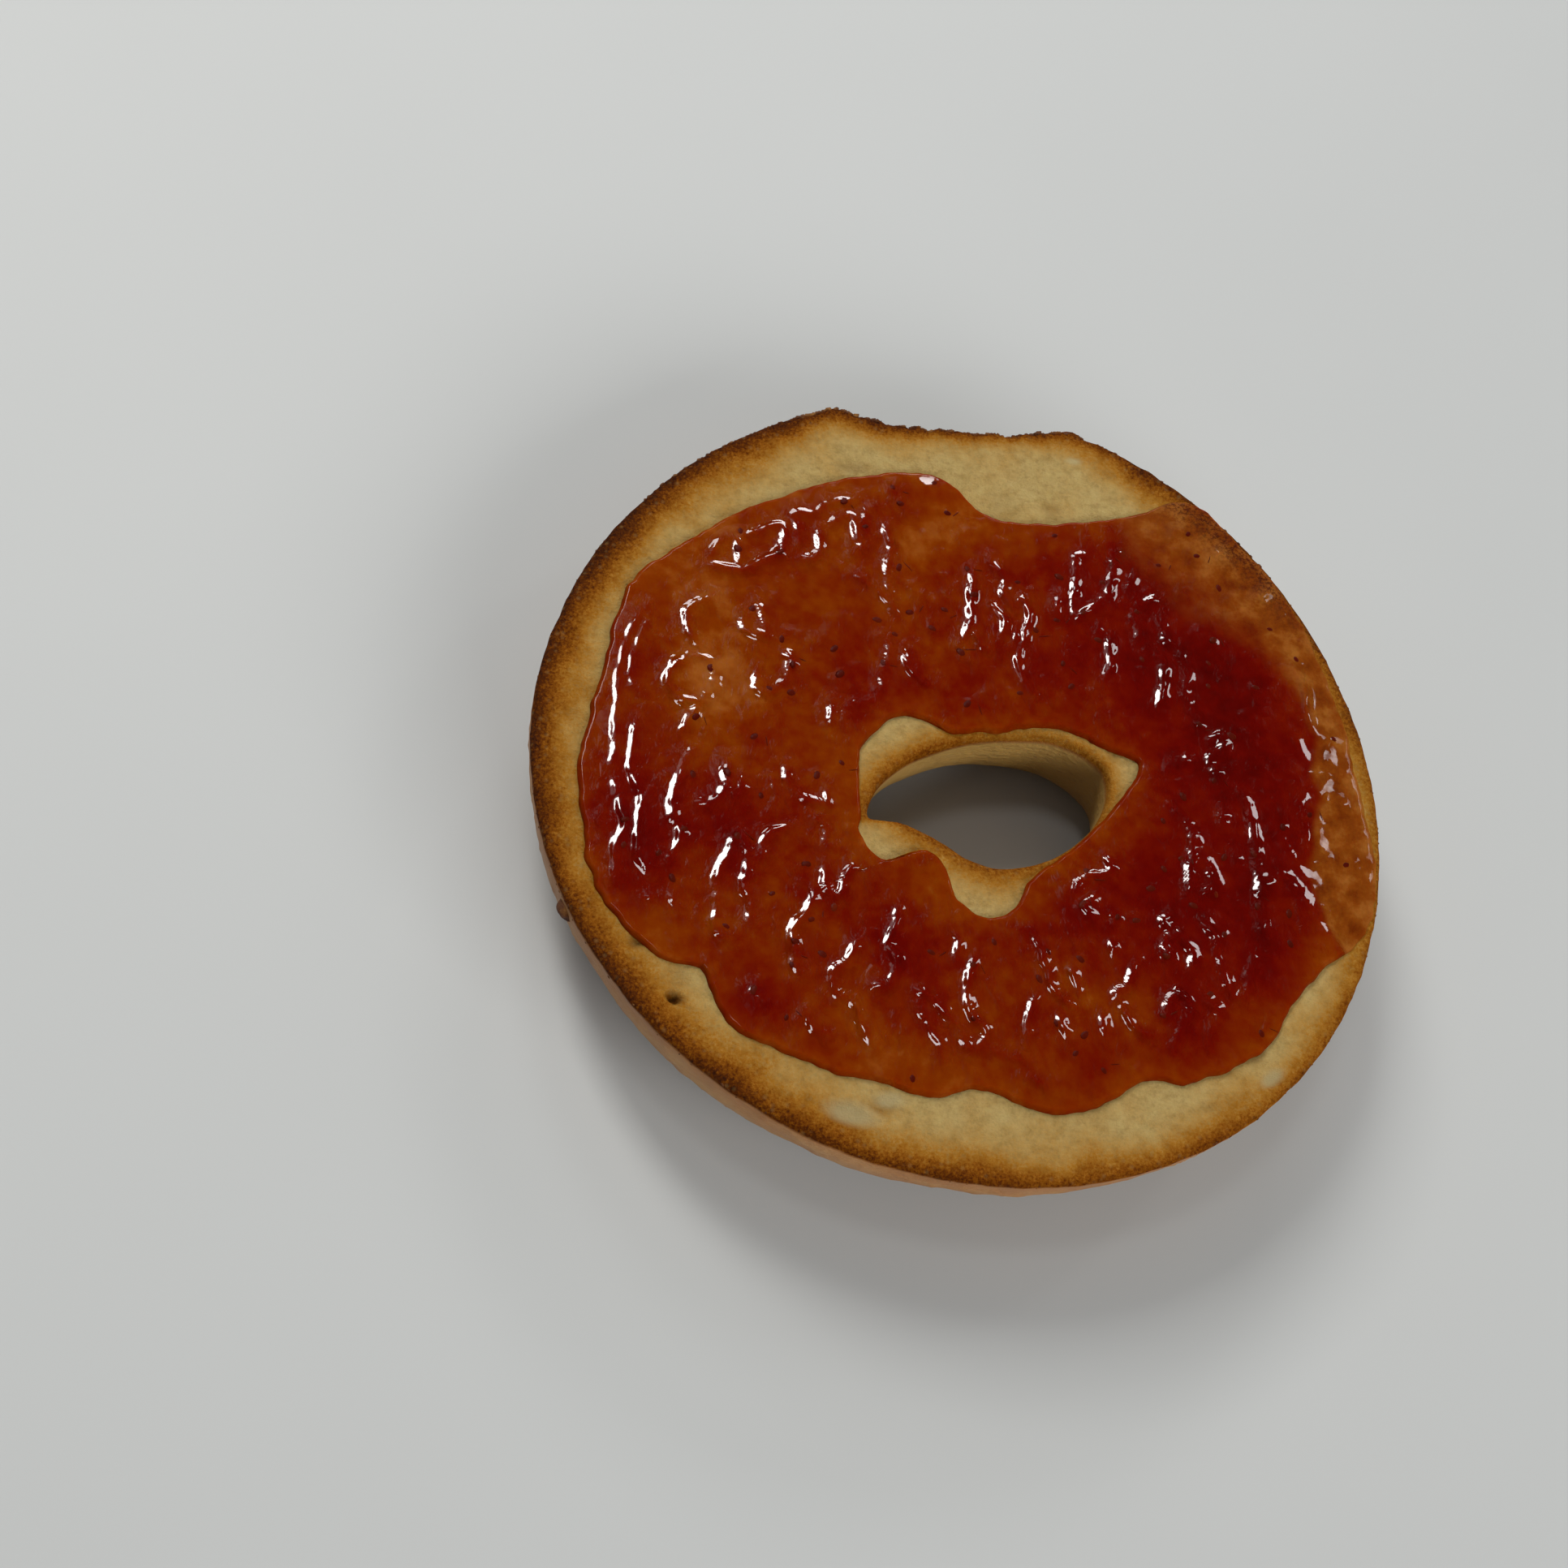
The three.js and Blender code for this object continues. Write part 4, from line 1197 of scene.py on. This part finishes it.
def add_fibres(shape, tree, places):
    """Short fibres, each beside a seed where the jam is thick enough."""
    draw = np.random.default_rng(23)
    for number, (x, y, turn, size) in enumerate(places):
        x, y = x + draw.uniform(1.0, 1.6), y + draw.uniform(-1.2, 1.2)
        hit = straight_down(tree, x, y)
        if hit[0] is not None and hit[0].z > FACE_HEIGHT + 0.3:
            axes = axes_on(hit[1], math.radians(turn + 60))
            half = (FIBRE_HALF[0] * size, *FIBRE_HALF[1:])
            add_lump(shape, hit[0] - Vector(axes[2]) * FIBRE_SUNK, half, axes, 0.5, 300 + number, detail=2)


def build_seeds(settings, jam):
    """Strawberry seeds, each mostly sunk in the jam, and short fibres."""
    tree = surface_tree(jam)
    shape = bmesh.new()
    places = seed_places(settings.seeds)
    for number, (x, y, turn, size) in enumerate(places):
        hit = straight_down(tree, x, y)
        axes = axes_on(hit[1], math.radians(turn))
        half = (SEED_HALF[0] * size, SEED_HALF[1] * size, SEED_HALF[2])
        add_lump(shape, hit[0] - Vector(axes[2]) * SEED_SUNK, half, axes, 0.05, number, detail=2)
    add_fibres(shape, tree, places[::3])
    return lump_piece("jam_seeds", shape, seed_material())


def crumb_material():
    material, tree, shader = new_material("dark_crumb")
    grain = use_group(tree, grain_group(), Cloud_Size=1.6, Grain_Size=0.3, Speck_Size=0.5)
    colour = ramp(tree, grain.outputs["Cloud"], (
        (0.3, (0.055, 0.015, 0.004)), (0.5, (0.13, 0.040, 0.008)), (0.7, (0.27, 0.115, 0.022))))
    plug(tree, shader.inputs["Base Color"], colour)
    plug(tree, shader.inputs["Normal"], bump(tree, grain.outputs["Grain"], 0.2))
    shader.inputs["Roughness"].default_value = 0.65
    shader.inputs["Specular IOR Level"].default_value = 0.3
    return material


# Where loose crumbs cling to the rim: first and last direction, how many are tried, largest half size.
CRUMB_BANDS = (
    (70, 77, 110, 0.55), (77, 103, 300, 0.44), (102, 113, 170, 0.58), (113, 140, 120, 0.36),
    (140, 240, 60, 0.26), (240, 300, 30, 0.18), (300, 395, 60, 0.24), (395, 430, 80, 0.34),
)

# Half sizes of the baked nub, and how far outside the crust the search for it starts.
NUB_HALF, OUTSIDE = (1.5, 1.1, 1.2), 100


def add_crumb(shape, tree, draw, angle, largest, number):
    """Tries one crumb on the rim in a direction, and says if it was placed."""
    away = Vector((math.cos(angle), math.sin(angle), 0))
    height = FACE_HEIGHT - draw.uniform(0.3, 1.3) ** 1.6
    hit = tree.ray_cast(Vector((*RIM_MIDDLE, height)) + away * OUTSIDE, -away)
    size = largest * draw.uniform(0.45, 1.0)
    if hit[0] is None or hit[1].z > 0.6:
        return False
    half = (size, size * draw.uniform(0.5, 0.9), size * draw.uniform(0.5, 0.8))
    middle = np.array(hit[0] - away * size * 0.15)
    limit = size * 1.15
    middle[:2] = np.clip(middle[:2], BOX_LOW[:2] + limit, BOX_HIGH[:2] - limit)
    add_lump(shape, middle, half, axes_on(away, draw.uniform(0, 3.1)), 0.5, number, detail=1)
    return True


def build_crumbs(settings, bread):
    """Dark crumbs on the torn rim and its two corners, and one baked nub on the crust."""
    tree = surface_tree(bread)
    draw = np.random.default_rng(29)
    shape = bmesh.new()
    number = 1
    for low, high, count, largest in CRUMB_BANDS:
        for _ in range(count):
            angle = math.radians(draw.uniform(low, high))
            number += add_crumb(shape, tree, draw, angle, largest, number)
    angle = math.radians(settings.nub_angle)
    away = Vector((math.cos(angle), math.sin(angle), 0))
    hit = tree.ray_cast(Vector((*RIM_MIDDLE, FACE_HEIGHT - 3.0)) + away * OUTSIDE, -away)
    add_lump(shape, np.array(hit[0] - away * 0.5), NUB_HALF, axes_on(away, 0.4), 0.3, 999)
    return lump_piece("dark_crumbs", shape, crumb_material())


# ---------------------------------------------------------------- settings and operators

def colour_property(name, default, description):
    return bpy.props.FloatVectorProperty(
        name=name, description=description, default=default, subtype="COLOR", size=3, min=0, max=1)


class StageSettings(bpy.types.PropertyGroup):
    floor_colour: colour_property("Floor", (0.52, 0.53, 0.525), "Colour of the table top")
    target: bpy.props.FloatVectorProperty(
        name="Target", description="Point that the camera looks at", size=3, subtype="XYZ",
        default=(-22.6 * MM, -3.6 * MM, FACE_HEIGHT * MM), unit="LENGTH")
    distance: bpy.props.FloatProperty(
        name="Distance", description="From the camera to its target", default=0.2974, unit="LENGTH")
    azimuth: bpy.props.FloatProperty(
        name="Azimuth", description="Turn of the camera about the upright axis from -Y",
        default=math.radians(-24.2), subtype="ANGLE")
    elevation: bpy.props.FloatProperty(
        name="Elevation", description="Height of the camera above the horizon",
        default=math.radians(60.0), subtype="ANGLE")
    roll: bpy.props.FloatProperty(
        name="Roll", description="Turn of the camera about its own axis",
        default=math.radians(25.9), subtype="ANGLE")
    lens: bpy.props.FloatProperty(
        name="Lens", description="Focal length in millimetres on a 36 mm sensor", default=58.88)


class BreadSettings(bpy.types.PropertyGroup):
    around: bpy.props.IntProperty(name="Around", description="Mesh columns round the ring", default=684)
    crumb_colour: colour_property("Crumb", (0.49, 0.345, 0.128), "Colour of untoasted crumb")
    toast_colour: colour_property("Toast", (0.26, 0.079, 0.004), "Colour of well toasted crumb")
    char_colour: colour_property("Char", (0.035, 0.009, 0.003), "Colour of the darkest toasted edge")
    crust_colour: colour_property("Crust", (0.39, 0.172, 0.058), "Main colour of the baked crust")
    nub_angle: bpy.props.FloatProperty(
        name="Nub Angle", description="Direction of the baked nub on the crust, in degrees", default=203.5)
    crust_roughness: bpy.props.FloatProperty(
        name="Crust Roughness", description="Roughness of the baked crust", default=0.5, min=0, max=1)


class JamSettings(bpy.types.PropertyGroup):
    around: bpy.props.IntProperty(name="Around", description="Mesh columns round the ring", default=760)
    across: bpy.props.IntProperty(name="Across", description="Mesh rings from hole to rim", default=120)
    ridge_height: bpy.props.FloatProperty(
        name="Ridges", description="Scale of the knife ridges", default=1.0, min=0, max=2)
    thin_colour: colour_property("Thin", (0.207, 0.031, 0.0004), "Colour where the jam is thin")
    middle_colour: colour_property("Middle", (0.168, 0.0130, 0.0003), "Colour of jam of middling depth")
    red_colour: colour_property("Red", (0.142, 0.0046, 0.0003), "Colour where the jam turns red")
    deep_colour: colour_property("Deep", (0.117, 0.0019, 0.0005), "Colour where the jam lies deep")
    seeds: bpy.props.IntProperty(name="Seeds", description="Number of strawberry seeds", default=115)
    glow: bpy.props.FloatProperty(
        name="Glow", description="How much light spreads inside the jam", default=0.35, min=0, max=1)


class BAGEL_OT_stage(bpy.types.Operator):
    """Make the table top, the lights and the camera"""
    bl_idname = "bagel.stage"
    bl_label = "Stage"

    def execute(self, context):
        settings = context.scene.bagel_stage
        build_stage(settings)
        return {"FINISHED"}


class BAGEL_OT_bread(bpy.types.Operator):
    """Make the toasted bread in place of its solid model"""
    bl_idname = "bagel.bread"
    bl_label = "Bread"

    def execute(self, context):
        piece = build_bread(context.scene.bagel_bread)
        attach(piece, BODY)
        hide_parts("bagel_half")
        return {"FINISHED"}


class BAGEL_OT_crumbs(bpy.types.Operator):
    """Make the loose crumbs and the nub on the crust"""
    bl_idname = "bagel.crumbs"
    bl_label = "Crumbs"

    def execute(self, context):
        piece = build_crumbs(context.scene.bagel_bread, bpy.data.objects["bread"])
        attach(piece, BODY)
        return {"FINISHED"}


class BAGEL_OT_seeds(bpy.types.Operator):
    """Make the strawberry seeds in the jam"""
    bl_idname = "bagel.seeds"
    bl_label = "Seeds"

    def execute(self, context):
        piece = build_seeds(context.scene.bagel_jam, bpy.data.objects["jam"])
        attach(piece, BODY)
        return {"FINISHED"}


class BAGEL_OT_jam(bpy.types.Operator):
    """Make the jam in place of its solid model"""
    bl_idname = "bagel.jam"
    bl_label = "Jam"

    def execute(self, context):
        piece = build_jam(context.scene.bagel_jam)
        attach(piece, BODY)
        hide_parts("jam_spread")
        return {"FINISHED"}


# ---------------------------------------------------------------- stage

def area_light(name, place_mm, target_mm, size_mm, power, colour, glossy):
    """A rectangular soft light that faces a point."""
    data = bpy.data.lights.new(name, "AREA")
    data.shape = "RECTANGLE"
    data.size, data.size_y = size_mm[0] * MM, size_mm[1] * MM
    data.energy = power
    data.color = colour
    light = bpy.data.objects.new(name, data)
    light.location = Vector(place_mm) * MM
    facing = Vector(target_mm) - Vector(place_mm)
    light.rotation_euler = facing.to_track_quat("-Z", "Y").to_euler()
    light.visible_glossy = glossy
    bpy.context.scene.collection.objects.link(light)


# Lights: name, place, width and height, power, colour, and whether the gloss shows them.
LIGHTS = (
    ("fill", (520, -840, 600), (900, 500), 8.8, (1.0, 0.99, 0.97), False),
    ("window", (-330, 560, 700), (180, 420), 4.4, (1.0, 0.985, 0.95), True),
    ("window_glow", (-360, 600, 760), (330, 640), 0.45, (1, 1, 1), True),
    ("window_right", (640, 440, 560), (70, 240), 0.30, (1, 1, 1), True),
    ("window_far", (200, 830, 450), (300, 130), 1.3, (1, 1, 1), True),
    ("window_corner", (-110, 745, 593), (130, 220), 0.75, (1, 1, 1), True),
    ("lamp", (-185, 57, 940), (130, 150), 0.5, (1, 1, 1), True),
    ("window_behind", (900, -900, 560), (280, 90), 0.22, (1, 1, 1), True),
)
FLOOR_HALF = 3.0
ROOM_LIGHT, ROOM_LIGHT_IN_GLOSS = 0.20, 0.002


def build_floor(settings):
    """A wide plain table top."""
    half = FLOOR_HALF
    corners = [(-half, -half, 0), (half, -half, 0), (half, half, 0), (-half, half, 0)]
    floor_mesh = bpy.data.meshes.new("floor")
    floor_mesh.from_pydata(corners, [], [(0, 1, 2, 3)])
    floor = bpy.data.objects.new("floor", floor_mesh)
    bpy.context.scene.collection.objects.link(floor)
    material, tree, shader = new_material("table_top")
    cloud = texture_noise(tree, 60.0, detail=2.0)
    tone = tuple(settings.floor_colour)
    darker = tuple(value * 0.985 for value in tone)
    plug(tree, shader.inputs["Base Color"], ramp(tree, cloud, ((0.3, darker), (0.7, tone))))
    shader.inputs["Roughness"].default_value = 0.6
    floor.data.materials.append(material)


def build_room():
    """Even light from all around, which the gloss hardly shows."""
    world = bpy.data.worlds.new("room")
    bpy.context.scene.world = world
    world.use_nodes = True
    tree = world.node_tree
    background = tree.nodes["Background"]
    background.inputs["Color"].default_value = (0.93, 0.97, 1.0, 1.0)
    path = tree.nodes.new("ShaderNodeLightPath")
    strength = spread(tree, path.outputs["Is Glossy Ray"], 0.0, 1.0, ROOM_LIGHT, ROOM_LIGHT_IN_GLOSS)
    tree.links.new(strength, background.inputs["Strength"])


def build_camera(settings):
    """The camera, looking down on the face."""
    scene = bpy.context.scene
    camera_data = bpy.data.cameras.new("camera")
    camera_data.lens = settings.lens
    camera_data.sensor_width = 36
    camera_data.clip_start = 0.01
    camera = bpy.data.objects.new("camera", camera_data)
    back = Vector((math.cos(settings.elevation) * math.sin(settings.azimuth),
                   -math.cos(settings.elevation) * math.cos(settings.azimuth),
                   math.sin(settings.elevation)))
    camera.location = Vector(settings.target) + back * settings.distance
    unrolled = (-back).to_track_quat("-Z", "Y").to_matrix()
    camera.rotation_euler = (unrolled @ Matrix.Rotation(settings.roll, 3, "Z")).to_euler()
    scene.collection.objects.link(camera)
    scene.camera = camera


def build_stage(settings):
    bpy.context.scene.view_settings.view_transform = "Standard"
    build_floor(settings)
    build_room()
    for name, place, size, power, colour, glossy in LIGHTS:
        area_light(name, place, (0, 0, FACE_HEIGHT), size, power, colour, glossy)
    build_camera(settings)


# ---------------------------------------------------------------- panel and registration

class BAGEL_PT_panel(bpy.types.Panel):
    """Lists the pieces of the bagel half"""
    bl_idname = "BAGEL_PT_panel"
    bl_label = "Toasted Bagel Half"
    bl_space_type = "VIEW_3D"
    bl_region_type = "UI"
    bl_category = "Bagel"

    def draw(self, context):
        for operator in OPERATORS:
            self.layout.operator(operator.bl_idname)


OPERATORS = (BAGEL_OT_stage, BAGEL_OT_bread, BAGEL_OT_crumbs, BAGEL_OT_jam, BAGEL_OT_seeds)
SETTINGS = (("bagel_stage", StageSettings), ("bagel_bread", BreadSettings), ("bagel_jam", JamSettings))


def register():
    for name, group in SETTINGS:
        bpy.utils.register_class(group)
        setattr(bpy.types.Scene, name, bpy.props.PointerProperty(type=group))
    for operator in OPERATORS:
        bpy.utils.register_class(operator)
    bpy.utils.register_class(BAGEL_PT_panel)


def unregister():
    bpy.utils.unregister_class(BAGEL_PT_panel)
    for operator in reversed(OPERATORS):
        bpy.utils.unregister_class(operator)
    for name, group in reversed(SETTINGS):
        delattr(bpy.types.Scene, name)
        bpy.utils.unregister_class(group)


def main():
    register()
    bpy.ops.bagel.stage()
    bpy.ops.bagel.bread()
    bpy.ops.bagel.crumbs()
    bpy.ops.bagel.jam()
    bpy.ops.bagel.seeds()


if __name__ == "__main__":
    main()
